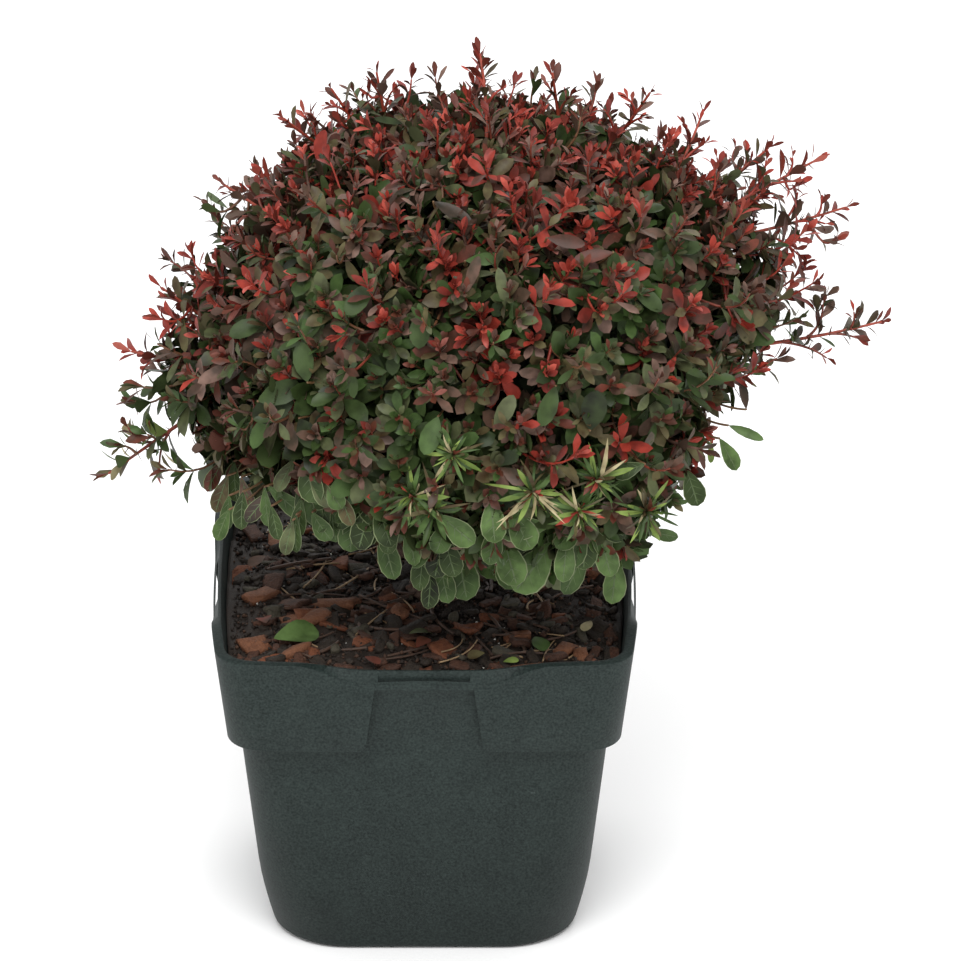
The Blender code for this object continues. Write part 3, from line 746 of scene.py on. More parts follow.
def turned(rng, count, tilt):
    """Random frames lying on the soil: along, across and up, tilted by up to this share."""
    yaw = rng.uniform(0, 2 * math.pi, count)
    lean = (rng.uniform(-tilt, tilt, count), rng.uniform(-tilt, tilt, count), np.ones(count))
    up = unit(np.stack(lean, 1))
    along = np.stack((np.cos(yaw), np.sin(yaw), np.zeros(count)), 1)
    along = unit(along - up * (along * up).sum(1, keepdims=True))
    return along, np.cross(up, along), up


def chip_points(rng, x, y, length, width, thick, tilt):
    """Broken flat chips of bark with eight uneven corners and a rounded top edge."""
    count = len(x)
    along, across, up = turned(rng, count, tilt)
    angle = 2 * math.pi * np.arange(CHIP_CORNERS) / CHIP_CORNERS
    reach = rng.uniform(*CHIP_CORNER_REACH, (count, CHIP_CORNERS))
    square = 1.0 / np.maximum(abs(np.cos(angle)), abs(np.sin(angle))) ** CHIP_SQUARENESS
    u = np.cos(angle) * square * reach * length[:, None] / 2
    v = np.sin(angle) * square * reach * width[:, None] / 2
    middle = np.stack((x, y, soil_surface(x, y) + thick * rng.uniform(*CHIP_RISE, count)), 1)
    layers = []
    flat = u[..., None] * along[:, None] + v[..., None] * across[:, None]
    for share, rise in CHIP_LAYERS:
        play = rng.uniform(-CHIP_UNEVENNESS, CHIP_UNEVENNESS, (count, CHIP_CORNERS))
        high = (rise + play) * thick[:, None]
        layers.append(middle[:, None] + share * flat + high[..., None] * up[:, None])
    low = middle - up * thick[:, None] / 2
    high = middle + up * thick[:, None] * rng.uniform(*CHIP_CROWN, (count, 1))
    points = np.concatenate((*layers, low[:, None], high[:, None]), 1)
    points[..., :2] = np.clip(points[..., :2], -WALL_REACH, WALL_REACH)
    return points


def wall_triangles(steps, sides):
    """The triangles between rings of points, from the first ring to the last."""
    found = []
    for level in range(steps - 1):
        for i in range(sides):
            j = (i + 1) % sides
            low = level * sides
            found += [(low + i, low + j, low + sides + j), (low + i, low + sides + j, low + sides + i)]
    return found


def closed_triangles(steps, sides):
    """A wall with a fan at each end, round two points that follow those of the rings."""
    found = wall_triangles(steps, sides)
    last = (steps - 1) * sides
    for i in range(sides):
        j = (i + 1) % sides
        found += [(steps * sides, j, i), (steps * sides + 1, last + i, last + j)]
    return found


CHIP_TRIANGLES = closed_triangles(len(CHIP_LAYERS), CHIP_CORNERS)
CHIP_KINDS = (
    # name, how many, least and greatest length, dark and light tint, seed
    ("rusty_bark", 46, (0.007, 0.022), (0.085, 0.026, 0.012), (0.200, 0.070, 0.032), 21),
    ("brown_bark", 150, (0.005, 0.018), (0.030, 0.014, 0.009), (0.092, 0.040, 0.024), 22),
    ("dark_bark", 230, (0.004, 0.016), (0.010, 0.008, 0.006), (0.038, 0.026, 0.018), 23),
    ("weathered_bark", 60, (0.005, 0.014), (0.032, 0.030, 0.020), (0.080, 0.066, 0.046), 24),
)


def make_chips():
    for name, count, (small, large), dark, light, seed in CHIP_KINDS:
        rng = np.random.default_rng(seed)
        x, y = scattered(rng, count)
        length = rng.uniform(small, large, count)
        width = length * rng.uniform(*CHIP_SLENDER, count)
        thick = rng.uniform(*CHIP_THICKNESS, count)
        points = chip_points(rng, x, y, length, width, thick, CHIP_TILT)
        material = grainy(name, dark, light, CHIP_ROUGHNESS, CHIP_FINISH)
        joined(name, *many(points, CHIP_TRIANGLES), material, "compost", smooth=False)


LARGE_CHIPS = (
    # across, along, length, width, yaw in degrees
    (-0.058, -0.035, 0.026, 0.013, 8),
    (-0.046, -0.019, 0.030, 0.009, -12),
    (-0.080, -0.010, 0.020, 0.013, 40),
    (-0.082, -0.060, 0.016, 0.011, 25),
    (-0.062, -0.072, 0.018, 0.007, 38),
    (-0.012, -0.030, 0.011, 0.008, -50),
    (0.050, -0.088, 0.020, 0.010, 4),
    (0.068, -0.068, 0.013, 0.010, 60),
    (0.076, -0.074, 0.012, 0.008, 100),
    (0.045, -0.052, 0.013, 0.009, 15),
    (-0.030, 0.060, 0.022, 0.011, 60),
    (0.040, 0.070, 0.024, 0.010, 150),
    (-0.072, 0.050, 0.020, 0.012, 95),
    (0.080, 0.020, 0.018, 0.010, 120),
)


def make_large_chips():
    """The few large rusty chips that catch the eye, laid one by one."""
    rng = np.random.default_rng(LARGE_CHIP_SEED)
    rows = np.array(LARGE_CHIPS)
    nowhere = np.zeros(len(rows))
    thick = np.full(len(rows), LARGE_CHIP_THICKNESS)
    points = chip_points(rng, nowhere, nowhere, rows[:, 2], rows[:, 3], thick, 0.0)
    centre = points.mean(1, keepdims=True)
    local = points - centre
    along = unit(points[:, 0] - points[:, 4])
    spin = np.radians(rows[:, 4]) - np.arctan2(along[:, 1], along[:, 0])
    turn_x = local[..., 0] * np.cos(spin)[:, None] - local[..., 1] * np.sin(spin)[:, None]
    turn_y = local[..., 0] * np.sin(spin)[:, None] + local[..., 1] * np.cos(spin)[:, None]
    lean = 0.0
    for turned_by in (turn_x, turn_y):
        lean = lean + turned_by * rng.uniform(-LARGE_CHIP_LEAN, LARGE_CHIP_LEAN, (len(rows), 1))
    level = soil_surface(rows[:, 0], rows[:, 1])[:, None] + LARGE_CHIP_RISE
    placed = np.stack((turn_x + rows[:, :1], turn_y + rows[:, 1:2], local[..., 2] + lean + level), 2)
    material = grainy("large_rusty_bark", *LARGE_CHIP_TINTS, CHIP_ROUGHNESS, CHIP_FINISH)
    joined("large_bark_chips", *many(placed, CHIP_TRIANGLES), material, "compost", smooth=False)


PEBBLE_TILT = 0.8
PEBBLE_REACH = (0.55, 1.15)
PEBBLE_RISE = 0.25
CRUMB_ROUGHNESS = 0.75
CRUMB_KINDS = (
    # name, how many, least and greatest size, dark and light tint, seed
    ("black_crumbs", 4200, (0.0010, 0.0034), (0.008, 0.006, 0.005), (0.034, 0.022, 0.015), 31),
    ("brown_crumbs", 1300, (0.0010, 0.0036), (0.030, 0.015, 0.009), (0.090, 0.045, 0.026), 32),
    ("white_grit", 120, (0.0009, 0.0023), (0.52, 0.50, 0.45), (0.80, 0.79, 0.74), 33),
)


def pebbles(rng, x, y, size):
    """Small uneven crumbs of eight faces."""
    corners = np.array([(1, 0, 0), (0, 1, 0), (-1, 0, 0), (0, -1, 0), (0, 0, 1), (0, 0, -1)], float)
    count = len(x)
    along, across, up = turned(rng, count, PEBBLE_TILT)
    reach = rng.uniform(*PEBBLE_REACH, (count, len(corners))) * size[:, None] / 2
    local = corners[None] * reach[..., None]
    middle = np.stack((x, y, soil_surface(x, y) + size * PEBBLE_RISE), 1)
    flat = local[..., :1] * along[:, None] + local[..., 1:2] * across[:, None]
    return flat + local[..., 2:] * up[:, None] + middle[:, None]


PEBBLE_FACES = ((0, 1, 4), (1, 2, 4), (2, 3, 4), (3, 0, 4), (1, 0, 5), (2, 1, 5), (3, 2, 5), (0, 3, 5))


def make_crumbs():
    for name, count, (small, large), dark, light, seed in CRUMB_KINDS:
        rng = np.random.default_rng(seed)
        x, y = scattered(rng, count, CRUMB_HALF)
        size = rng.uniform(small, large, count)
        points = pebbles(rng, x, y, size)
        material = grainy(name, dark, light, CRUMB_ROUGHNESS, COMPOST_FINISH)
        joined(name, *many(points, PEBBLE_FACES), material, "compost", smooth=False)


def circles(paths, aside, sides):
    """The directions of many paths at their points, and unit circles across them."""
    direction = unit(np.gradient(paths, axis=1))
    across = unit(np.cross(direction, aside))
    beside = np.cross(direction, across)
    angle = 2 * math.pi * np.arange(sides) / sides
    ring = np.cos(angle)[:, None] * across[:, :, None] + np.sin(angle)[:, None] * beside[:, :, None]
    return direction, ring


def tubes(paths, radii, sides, seed):
    """Round limbs along many paths of the same number of points, closed at their tips."""
    count, steps, _ = paths.shape
    aside = unit(np.random.default_rng(seed).normal(size=(count, 1, 3)))
    direction, ring = circles(paths, aside, sides)
    points = paths[:, :, None] + ring * radii[:, :, None, None]
    tips = paths[:, -1] + direction[:, -1] * radii[:, -1:]
    points = np.concatenate((points.reshape(count, -1, 3), tips[:, None]), 1)
    found = wall_triangles(steps, sides)
    last = (steps - 1) * sides
    for i in range(sides):
        found.append((last + i, last + (i + 1) % sides, steps * sides))
    return many(points, found)


STRAW_KINDS = (
    # name, how many, least and greatest length, radius, dark and light tint, seed
    ("dry_straws", 46, (0.010, 0.030), 0.0005, (0.20, 0.12, 0.06), (0.45, 0.31, 0.17), 41),
    ("dead_twigs", 60, (0.012, 0.040), 0.0009, (0.030, 0.018, 0.012), (0.10, 0.05, 0.03), 42),
)
STRAW_BEND = 0.15
STRAW_SLANT = 0.003
STRAW_TAPER = 0.3
STRAW_RADIUS_PLAY = (0.7, 1.2)
STRAW_ROUGHNESS = 0.6
STRAW_FINISH = ((90.0, 700.0, 0.4), (0.3, 0.0003), 0.5)
STRAW_SIDES = 5


def make_straws():
    """Dry stalks and bits of dead twig on the compost."""
    for name, count, (short, long), radius, dark, light, seed in STRAW_KINDS:
        rng = np.random.default_rng(seed)
        x, y = scattered(rng, count, STRAW_HALF)
        length = rng.uniform(short, long, count)
        yaw = rng.uniform(0, math.pi, count)
        bend = rng.uniform(-STRAW_BEND, STRAW_BEND, count)
        steps = np.linspace(-0.5, 0.5, STRAW_POINTS)
        far = steps[None] * length[:, None]
        side = bend[:, None] * length[:, None] * (1 - 4 * steps[None] ** 2)
        cosine = np.cos(yaw)[:, None]
        sine = np.sin(yaw)[:, None]
        px = np.clip(x[:, None] + far * cosine - side * sine, -LITTER_HALF, LITTER_HALF)
        py = np.clip(y[:, None] + far * sine + side * cosine, -LITTER_HALF, LITTER_HALF)
        slant = steps[None] * rng.uniform(-STRAW_SLANT, STRAW_SLANT, (count, 1))
        paths = np.stack((px, py, soil_surface(x, y)[:, None] + STRAW_RISE + slant), 2)
        taper = 1 - STRAW_TAPER * np.linspace(0, 1, STRAW_POINTS)[None]
        radii = radius * rng.uniform(*STRAW_RADIUS_PLAY, (count, 1)) * taper
        material = grainy(name, dark, light, STRAW_ROUGHNESS, STRAW_FINISH)
        joined(name, *tubes(paths, radii, STRAW_SIDES, seed), material, "compost")


make_chips()
make_large_chips()
make_crumbs()
make_straws()


# The stem and the boughs are the shrub's old wood: a short flared foot, cut off by the soil,
# and fourteen limbs that rise from it into the foliage, all under thin furrowed brown bark.
STEM_LEAN = Vector((0.10, 0.0, 1.0))
STEM_HEIGHTS = (0.0, 0.004, 0.012, 0.024, 0.036)
STEM_RADII = (0.0150, 0.0118, 0.0102, 0.0098, 0.0094)
CROWN_HEART = np.array((0.028, 0.0, 0.3005))
CROWN_HALF_WIDTH = 0.149
CROWN_HALF_DEPTH = 0.152
CROWN_UP = 0.121
CROWN_DOWN = 0.113
CROWN_SQUARENESS = 2.3
# Bulges and hollows of the outline: direction, share of the radius, spread in degrees
BULGES = (
    ((0.93, 0.00, 0.38), 0.12, 22),
    ((0.88, -0.10, -0.42), -0.25, 26),
    ((-0.97, 0.00, -0.22), 0.16, 22),
    ((-0.62, -0.40, -0.66), -0.16, 26),
    ((0.62, 0.45, 0.62), -0.09, 26),
    ((0.40, -0.70, -0.55), 0.08, 24),
)
# Masses of foliage, ring by ring: name, elevation in degrees, how many, first azimuth
MASS_RINGS = (
    ("top", 90, 1, 0),
    ("upper", 34, 5, 54),
    ("lower", -9, 8, 0),
)
SITE_REACH = 0.72
CORE_MIDDLE = 0.60
BOUGH_ROOT_RADIUS = 0.0024
BOUGH_TIP_RADIUS = 0.0015
CURVE_STEPS = 9
LOWER_BOUGH_HEIGHT = 0.017
UPPER_BOUGH_RING = 0.0062
LOWER_BOUGH_RISE = 0.55
BOUGH_BEND = 0.45
BARK_ASIDE = np.array((0.31, 0.95, 0.05))
# The bark's two tints are darker than the bark itself: painted shade, since the stem and boughs stand under
# the crown.
SHADED_BARK_DARK = (0.036, 0.020, 0.013)
SHADED_BARK_LIGHT = (0.110, 0.066, 0.043)
BARK_ROUGHNESS = 0.85
BARK_FINISH = ((300.0, 1600.0, 0.5), (0.7, 0.0005), 0.5)
LIMB_SINK = 0.002
STEM_RINGS = 26
# Sides, depth of the furrows as a share of the radius, and seed
STEM_BARK = (36, 0.035, 51)
BOUGH_BARK = (14, 0.06, 52)
FURROW_WAVES = 5
FURROW_TWIST = 0.25


def bulge(directions, towards, spread):
    """From 1 in the middle of a bulge to 0 well outside it."""
    angle = np.degrees(np.arccos(np.clip(directions @ unit(np.array(towards)), -1.0, 1.0))) / spread
    return np.exp(-angle * angle)


def crown_radius(directions):
    """How far the leafy outline lies from the crown's heart in these directions."""
    height = np.where(directions[..., 2] > 0, CROWN_UP, CROWN_DOWN)
    total = abs(directions[..., 0] / CROWN_HALF_WIDTH) ** CROWN_SQUARENESS
    total = total + abs(directions[..., 1] / CROWN_HALF_DEPTH) ** CROWN_SQUARENESS
    total = total + abs(directions[..., 2] / height) ** CROWN_SQUARENESS
    radius = total ** (-1.0 / CROWN_SQUARENESS)
    for towards, share, spread in BULGES:
        radius = radius * (1.0 + share * bulge(directions, towards, spread))
    return radius


def crown_point(directions, reach):
    return CROWN_HEART + directions * (crown_radius(directions) * reach)[..., None]


def mass_sites():
    """Ring names and directions of the masses of foliage."""
    rings = []
    found = []
    for ring, elevation, count, first in MASS_RINGS:
        for i in range(count):
            turn = math.radians(first + 360 * i / count)
            rise = math.radians(elevation)
            rings.append(ring)
            flat = math.cos(rise)
            found.append((flat * math.cos(turn), flat * math.sin(turn), math.sin(rise)))
    return rings, np.array(found)


MASS_RING_NAMES, MASS_DIRECTIONS = mass_sites()
MASS_SITES = crown_point(MASS_DIRECTIONS, SITE_REACH)
MASS_MIDDLES = crown_point(MASS_DIRECTIONS, CORE_MIDDLE)


def stem_point(height):
    return STEM_FOOT + STEM_LEAN.normalized() * height


def stem_radius(height):
    return float(np.interp(height, STEM_HEIGHTS, STEM_RADII))


def limb_curve(index):
    """The whole curve from the stem to the middle of a mass."""
    direction = Vector(MASS_DIRECTIONS[index])
    end = Vector(MASS_MIDDLES[index])
    sideways = Vector((direction.x, direction.y, 0.0))
    if MASS_RING_NAMES[index] == "lower":
        sideways.normalize()
        root = stem_point(LOWER_BOUGH_HEIGHT) + sideways * (stem_radius(LOWER_BOUGH_HEIGHT) - LIMB_SINK)
        leave = (sideways + Vector((0, 0, LOWER_BOUGH_RISE))).normalized()
    else:
        lean = STEM_LEAN.normalized()
        beside = sideways - lean * sideways.dot(lean)
        root = stem_point(STEM_HEIGHTS[-1] - LIMB_SINK)
        if MASS_RING_NAMES[index] != "top":
            root += beside.normalized() * UPPER_BOUGH_RING
        leave = lean
    bend = root + leave * (end - root).length * BOUGH_BEND
    path = []
    for step in range(CURVE_STEPS * 4 + 1):
        t = step / (CURVE_STEPS * 4)
        path.append(tuple(root * (1 - t) ** 2 + bend * 2 * t * (1 - t) + end * t * t))
    return np.array(path)


def stacked(pieces):
    """Joins several sets of points and triangles to one."""
    points = []
    triangles = []
    start = 0
    for some, faces in pieces:
        points.append(some)
        triangles.append(faces + start)
        start += len(some)
    return np.concatenate(points), np.concatenate(triangles)


def furrowed(paths, radii, sides, depth, seed):
    """Limbs whose bark has long furrows and small knots."""
    count, steps, _ = paths.shape
    rng = np.random.default_rng(seed)
    angle = 2 * math.pi * np.arange(sides) / sides
    rise = np.arange(steps)[:, None]
    relief_of_bark = np.zeros((count, steps, sides))
    for wave in range(FURROW_WAVES):
        turns = 3 + 2 * wave
        phase = rng.uniform(0, 2 * math.pi, (count, 1, 1))
        twist = rng.uniform(-FURROW_TWIST, FURROW_TWIST, (count, 1, 1))
        ripple = np.sin(turns * angle[None, None] + phase + twist * rise[None])
        relief_of_bark += ripple / (1.0 + 0.5 * wave)
    relief_of_bark += rng.uniform(-0.5, 0.5, relief_of_bark.shape)
    _, ring = circles(paths, BARK_ASIDE, sides)
    thick = radii[:, :, None] * (1.0 + depth * relief_of_bark)
    points = (paths[:, :, None] + ring * thick[..., None]).reshape(count, -1, 3)
    ends = np.stack((paths[:, 0], paths[:, -1]), 1)
    return many(np.concatenate((points, ends), 1), closed_triangles(steps, sides))


def make_wood():
    heights = np.linspace(0.0, STEM_HEIGHTS[-1], STEM_RINGS)
    lean = np.array(STEM_LEAN.normalized())
    stem_path = np.array(STEM_FOOT) + heights[:, None] * lean
    stem_radii = np.interp(heights, STEM_HEIGHTS, STEM_RADII)
    stem_points, stem_triangles = furrowed(stem_path[None], stem_radii[None], *STEM_BARK)
    stem_points[:, 2] = np.maximum(stem_points[:, 2], STEM_FOOT.z)
    paths = np.array([limb_curve(index) for index in range(len(MASS_DIRECTIONS))])
    radii = np.linspace(BOUGH_ROOT_RADIUS, BOUGH_TIP_RADIUS, paths.shape[1])[None].repeat(len(paths), 0)
    bough_points, bough_triangles = furrowed(paths, radii, *BOUGH_BARK)
    points, triangles = stacked(((stem_points, stem_triangles), (bough_points, bough_triangles)))
    bark = grainy("old_bark_painted_shade", SHADED_BARK_DARK, SHADED_BARK_LIGHT, BARK_ROUGHNESS, BARK_FINISH)
    wood = joined("stem_and_boughs", points, triangles, bark, "bark")
    names = [node for node in frame["nodes"] if node == "stem" or node.startswith("bough_")]
    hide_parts(*sorted(names))


make_wood()


# Twigs carry the foliage. From the middle of each mass the first twigs fan out, finer ones
# leave them and end in this year's shoots, which are soft and scarlet to red-brown.
TWIG_COUNT = 118
TWIG_LOWEST = -0.80
TWIG_REACH = (0.84, 0.92)
TWIG_RADIUS = 0.0014
TWIG_TIP_RADIUS = 0.0006
GOLDEN_ANGLE = math.radians(137.508)
SHOOT_COUNT = 980
SHOOT_LOWEST = -0.84
SHOOT_REACH = (0.79, 0.89)
SHOOT_POINTS = 10
LEADER_EVERY = 6
LEADER_LOWEST = -0.12
LEADER_REACH = (0.90, 0.99)
INNER_COUNT = 560
INNER_REACH = (0.50, 0.74)
INNER_LOWEST = -0.75
OUTER_SHOOT_LENGTH = 0.06
INNER_SHOOT_LENGTH = 0.04
SHOOT_BEND = 0.55
TWIG_SEED = 7
TWIG_PLAY_SEED = 62
OUTER_SEED = 61
INNER_SEED = 64
SIDE_SEED = 65
TWIG_PLAY = 0.003
TWIG_SAG = 0.06
TWIG_SIDES = 6
TWIG_TUBE_SEEDS = (63, 66)
# A shoot's end grows outwards by this share, and up by a share that rises with its place
GROWTH_OUT = 0.9
GROWTH_UP = (0.75, 0.5)
GROWTH_UP_LIMITS = (0.15, 0.9)
GROWTH_PLAY = 0.24
ROOT_LIMITS = (0.15, 0.85)
WHOLE_SHOOT = 0.98
OUTER_PLAY = 0.026
INNER_PLAY = 0.04
# Shares of the long shoot's way, its side and up in the way of a side shoot
SIDE_GROWTH = (0.75, 0.7, 0.45)
SIDE_PLANE = np.array((0.0, -1.0, 0.25))
SIDE_PLAY = 0.16
SIDE_BEND = 0.3
TWIG_FINISH = ((120.0, 1800.0, 0.3), (0.25, 0.0002), 0.4)
# Dark tint, light tint, roughness
TWIG_BARK = ((0.050, 0.026, 0.018), (0.13, 0.062, 0.040), 0.7)
RED_TWIG_BARK = ((0.17, 0.030, 0.016), (0.36, 0.055, 0.028), 0.5)
UP = np.array((0.0, 0.0, 1.0))
LONG_SHOOTS = (
    (0.221, 0.000, 0.305),
    (0.204, 0.030, 0.352),
    (0.189, 0.018, 0.383),
    (0.166, 0.015, 0.391),
    (0.134, 0.025, 0.404),
    (0.109, 0.035, 0.411),
    (0.062, 0.053, 0.413),
    (0.027, 0.032, 0.433),
    (-0.023, 0.043, 0.418),
    (-0.045, 0.050, 0.406),
    (-0.068, 0.040, 0.395),
    (-0.098, 0.020, 0.370),
    (-0.127, 0.005, 0.321),
    (-0.142, 0.012, 0.283),
    (-0.153, -0.018, 0.232),
)
SIDE_SHOOTS = (
    # distance back from the long shoot's tip, its own length
    (0.016, 0.009),
    (0.026, 0.014),
    (0.037, 0.019),
    (0.050, 0.024),
    (0.064, 0.027),
)
# Where the foliage is fuller or thinner: direction, share of the reach, spread in degrees
FULLNESS = (
    ((-0.95, -0.05, -0.30), 0.08, 20),
    ((-0.60, 0.35, 0.72), -0.06, 24),
    ((0.98, 0.00, 0.15), 0.07, 24),
)
# Further leaders that stand out at the sides
STRAY_SHOOTS = (
    (0.198, 0.012, 0.343),
    (0.189, -0.005, 0.329),
    (0.194, 0.005, 0.316),
    (0.183, -0.010, 0.358),
    (0.178, 0.010, 0.372),
    (0.172, -0.020, 0.344),
    (0.180, -0.015, 0.314),
    (0.170, -0.030, 0.300),
    (0.176, 0.040, 0.330),
    (-0.140, 0.000, 0.262),
    (-0.138, -0.010, 0.275),
    (-0.146, -0.018, 0.247),
    (-0.134, -0.020, 0.254),
    (-0.129, -0.010, 0.298),
    (-0.124, -0.030, 0.240),
    (-0.130, 0.035, 0.262),
    (0.083, 0.030, 0.416),
    (0.120, 0.010, 0.397),
    (0.150, 0.020, 0.388),
)


def spiral(count, lowest):
    """Directions dealt out evenly by the golden angle, from straight up down to the lowest."""
    number = np.arange(count)
    height = 1.0 - (number + 0.5) / count * (1.0 - lowest)
    flat = np.sqrt(1.0 - height * height)
    turn = GOLDEN_ANGLE * number
    return np.stack((flat * np.cos(turn), flat * np.sin(turn), height), 1)


def nearest(points, places):
    """For each point the number of the nearest place, and its distance."""
    away = np.linalg.norm(points[:, None] - places[None], axis=2)
    return away.argmin(1), away.min(1)


def first_twigs():
    """The first twigs: the mass that each one belongs to, and its tip."""
    seeded = random.Random(TWIG_SEED)
    reach = np.array([seeded.uniform(*TWIG_REACH) for _ in range(TWIG_COUNT)])
    tips = crown_point(spiral(TWIG_COUNT, TWIG_LOWEST), reach)
    tips = np.concatenate((tips, np.array(LONG_SHOOTS)))
    mass, _ = nearest(tips, MASS_SITES)
    return mass, tips


def bezier(start, bend, end, steps):
    t = np.linspace(0.0, 1.0, steps)[None, :, None]
    return start[:, None] * (1 - t) ** 2 + bend[:, None] * 2 * t * (1 - t) + end[:, None] * t * t


TWIG_MASS, TWIG_TIPS = first_twigs()
TWIG_ROOTS = MASS_MIDDLES[TWIG_MASS]


def twig_paths():
    """The first twigs' curves, which rise a little towards their tips."""
    rng = np.random.default_rng(TWIG_PLAY_SEED)
    middle = (TWIG_ROOTS + TWIG_TIPS) / 2 + rng.normal(scale=TWIG_PLAY, size=TWIG_TIPS.shape)
    length = np.linalg.norm(TWIG_TIPS - TWIG_ROOTS, axis=1, keepdims=True)
    return bezier(TWIG_ROOTS, middle - UP * TWIG_SAG * length, TWIG_TIPS, SHOOT_POINTS)


TWIG_PATHS = twig_paths()


def shoot_growth(rng, around):
    """The way that each shoot's end points: outwards and up, with some play."""
    level, more = GROWTH_UP
    rise = np.clip(level + more * around[:, 2:], *GROWTH_UP_LIMITS)
    return unit(around * GROWTH_OUT + UP * rise + rng.normal(scale=GROWTH_PLAY, size=around.shape))


def shoot_paths(tips, growth, longest):
    """Curves from the first twigs to the shoots' tips, which they reach along their growth."""
    mass, _ = nearest(tips, MASS_SITES)
    roots = np.empty_like(tips)
    for number in range(len(MASS_SITES)):
        own = np.flatnonzero(mass == number)
        twigs = np.flatnonzero(TWIG_MASS == number)
        closest, away = nearest(tips[own], TWIG_TIPS[twigs])
        twig = twigs[closest]
        whole = np.linalg.norm(TWIG_TIPS[twig] - TWIG_ROOTS[twig], axis=1)
        share = np.clip(1.0 - away / whole, *ROOT_LIMITS)
        roots[own] = TWIG_ROOTS[twig] + (TWIG_TIPS[twig] - TWIG_ROOTS[twig]) * share[:, None]
    length = np.minimum(np.linalg.norm(tips - roots, axis=1), longest)
    return bezier(roots, tips - growth * length[:, None] * SHOOT_BEND, tips, SHOOT_POINTS)


def at_distance(paths, distance):
    """The point and the direction at a distance back from each path's tip, and its length."""
    steps = np.linalg.norm(np.diff(paths, axis=1), axis=2)
    from_tip = np.pad(np.cumsum(steps[:, ::-1], axis=1), ((0, 0), (1, 0)))[:, ::-1]
    back = np.minimum(distance, from_tip[:, 0] * WHOLE_SHOOT)
    later = (from_tip > back[:, None]).sum(1)
    later = np.clip(later, 1, paths.shape[1] - 1)
    rows = np.arange(len(paths))
    near = paths[rows, later]
    far = paths[rows, later - 1]
    span = from_tip[rows, later - 1] - from_tip[rows, later]
    share = (back - from_tip[rows, later]) / np.maximum(span, 1e-9)
    return near + (far - near) * share[:, None], unit(near - far), from_tip[:, 0]


def fullness(around):
    """How much further or less far the shoots reach in these directions."""
    share = np.ones(len(around))
    for towards, more, spread in FULLNESS:
        share += more * bulge(around, towards, spread)
    return share


def outer_shoots():
    """The shoots that make the crown's surface: their paths, and which of them are leaders."""
    rng = np.random.default_rng(OUTER_SEED)
    around = spiral(SHOOT_COUNT, SHOOT_LOWEST)
    around = unit(around + rng.normal(scale=OUTER_PLAY, size=around.shape))
    leader = np.arange(SHOOT_COUNT) % LEADER_EVERY == 0
    leader &= around[:, 2] > LEADER_LOWEST
    far = rng.uniform(*LEADER_REACH, SHOOT_COUNT)
    near = rng.uniform(*SHOOT_REACH, SHOOT_COUNT)
    tips = crown_point(around, np.where(leader, far, near) * fullness(around))
    tips = np.concatenate((tips, np.array(STRAY_SHOOTS)))
    around = unit(tips - CROWN_HEART)
    leader = np.concatenate((leader, np.ones(len(STRAY_SHOOTS), bool)))
    return shoot_paths(tips, shoot_growth(rng, around), OUTER_SHOOT_LENGTH), leader


def inner_shoots():
    """Older shoots below the surface, which close the crown."""
    rng = np.random.default_rng(INNER_SEED)
    around = spiral(INNER_COUNT, INNER_LOWEST)
    around = unit(around + rng.normal(scale=INNER_PLAY, size=around.shape))
    tips = crown_point(around, rng.uniform(*INNER_REACH, INNER_COUNT) * fullness(around))
    return shoot_paths(tips, shoot_growth(rng, around), INNER_SHOOT_LENGTH)


# The last long shoot, low on the left, is nearly bare: it has only these two
BARE_SPRIG_HAS = (1, 2)


def blend(shares, *directions):
    """A mix of directions by their shares."""
    return sum(share * direction for share, direction in zip(shares, directions))


def side_shoots():
    """Short shoots left and right of each long shoot."""
    rng = np.random.default_rng(SIDE_SEED)
    long_paths = TWIG_PATHS[TWIG_COUNT:]
    found = []
    owner = []
    for number, (distance, length) in enumerate(SIDE_SHOOTS):
        root, axis, _ = at_distance(long_paths, np.full(len(long_paths), distance))
        side = unit(np.cross(axis, SIDE_PLANE)) * (1 if number % 2 else -1)
        way = unit(blend(SIDE_GROWTH, axis, side, UP) + rng.normal(scale=SIDE_PLAY, size=axis.shape))
        bend = root + (axis + way) * length * SIDE_BEND
        shoots = bezier(root, bend, root + way * length, SHOOT_POINTS)
        kept = np.arange(len(long_paths) - (0 if number in BARE_SPRIG_HAS else 1))
        found.append(shoots[kept])
        owner.append(kept)
    return np.concatenate(found), np.concatenate(owner)


OUTER_PATHS, IS_LEADER = outer_shoots()
INNER_PATHS = inner_shoots()
SIDE_PATHS, SIDE_OWNER = side_shoots()


def crown_height(points):
    """From -1 at the crown's foot to 1 at its top."""
    return (points[..., 2] - CROWN_HEART[2]) / CROWN_UP


def make_first_twigs():
    radii = np.linspace(TWIG_RADIUS, TWIG_TIP_RADIUS, SHOOT_POINTS)[None]
    bark = grainy("twig_bark", *TWIG_BARK, TWIG_FINISH)
    red = grainy("red_twig_bark", *RED_TWIG_BARK, TWIG_FINISH)
    inner = ("first_twigs", TWIG_PATHS[:TWIG_COUNT], bark)
    outer = ("long_shoots", TWIG_PATHS[TWIG_COUNT:], red)
    for seed, (name, paths, material) in zip(TWIG_TUBE_SEEDS, (inner, outer)):
        twigs = tubes(paths, radii.repeat(len(paths), 0), TWIG_SIDES, seed)
        joined(name, *twigs, material, "bark")


make_first_twigs()


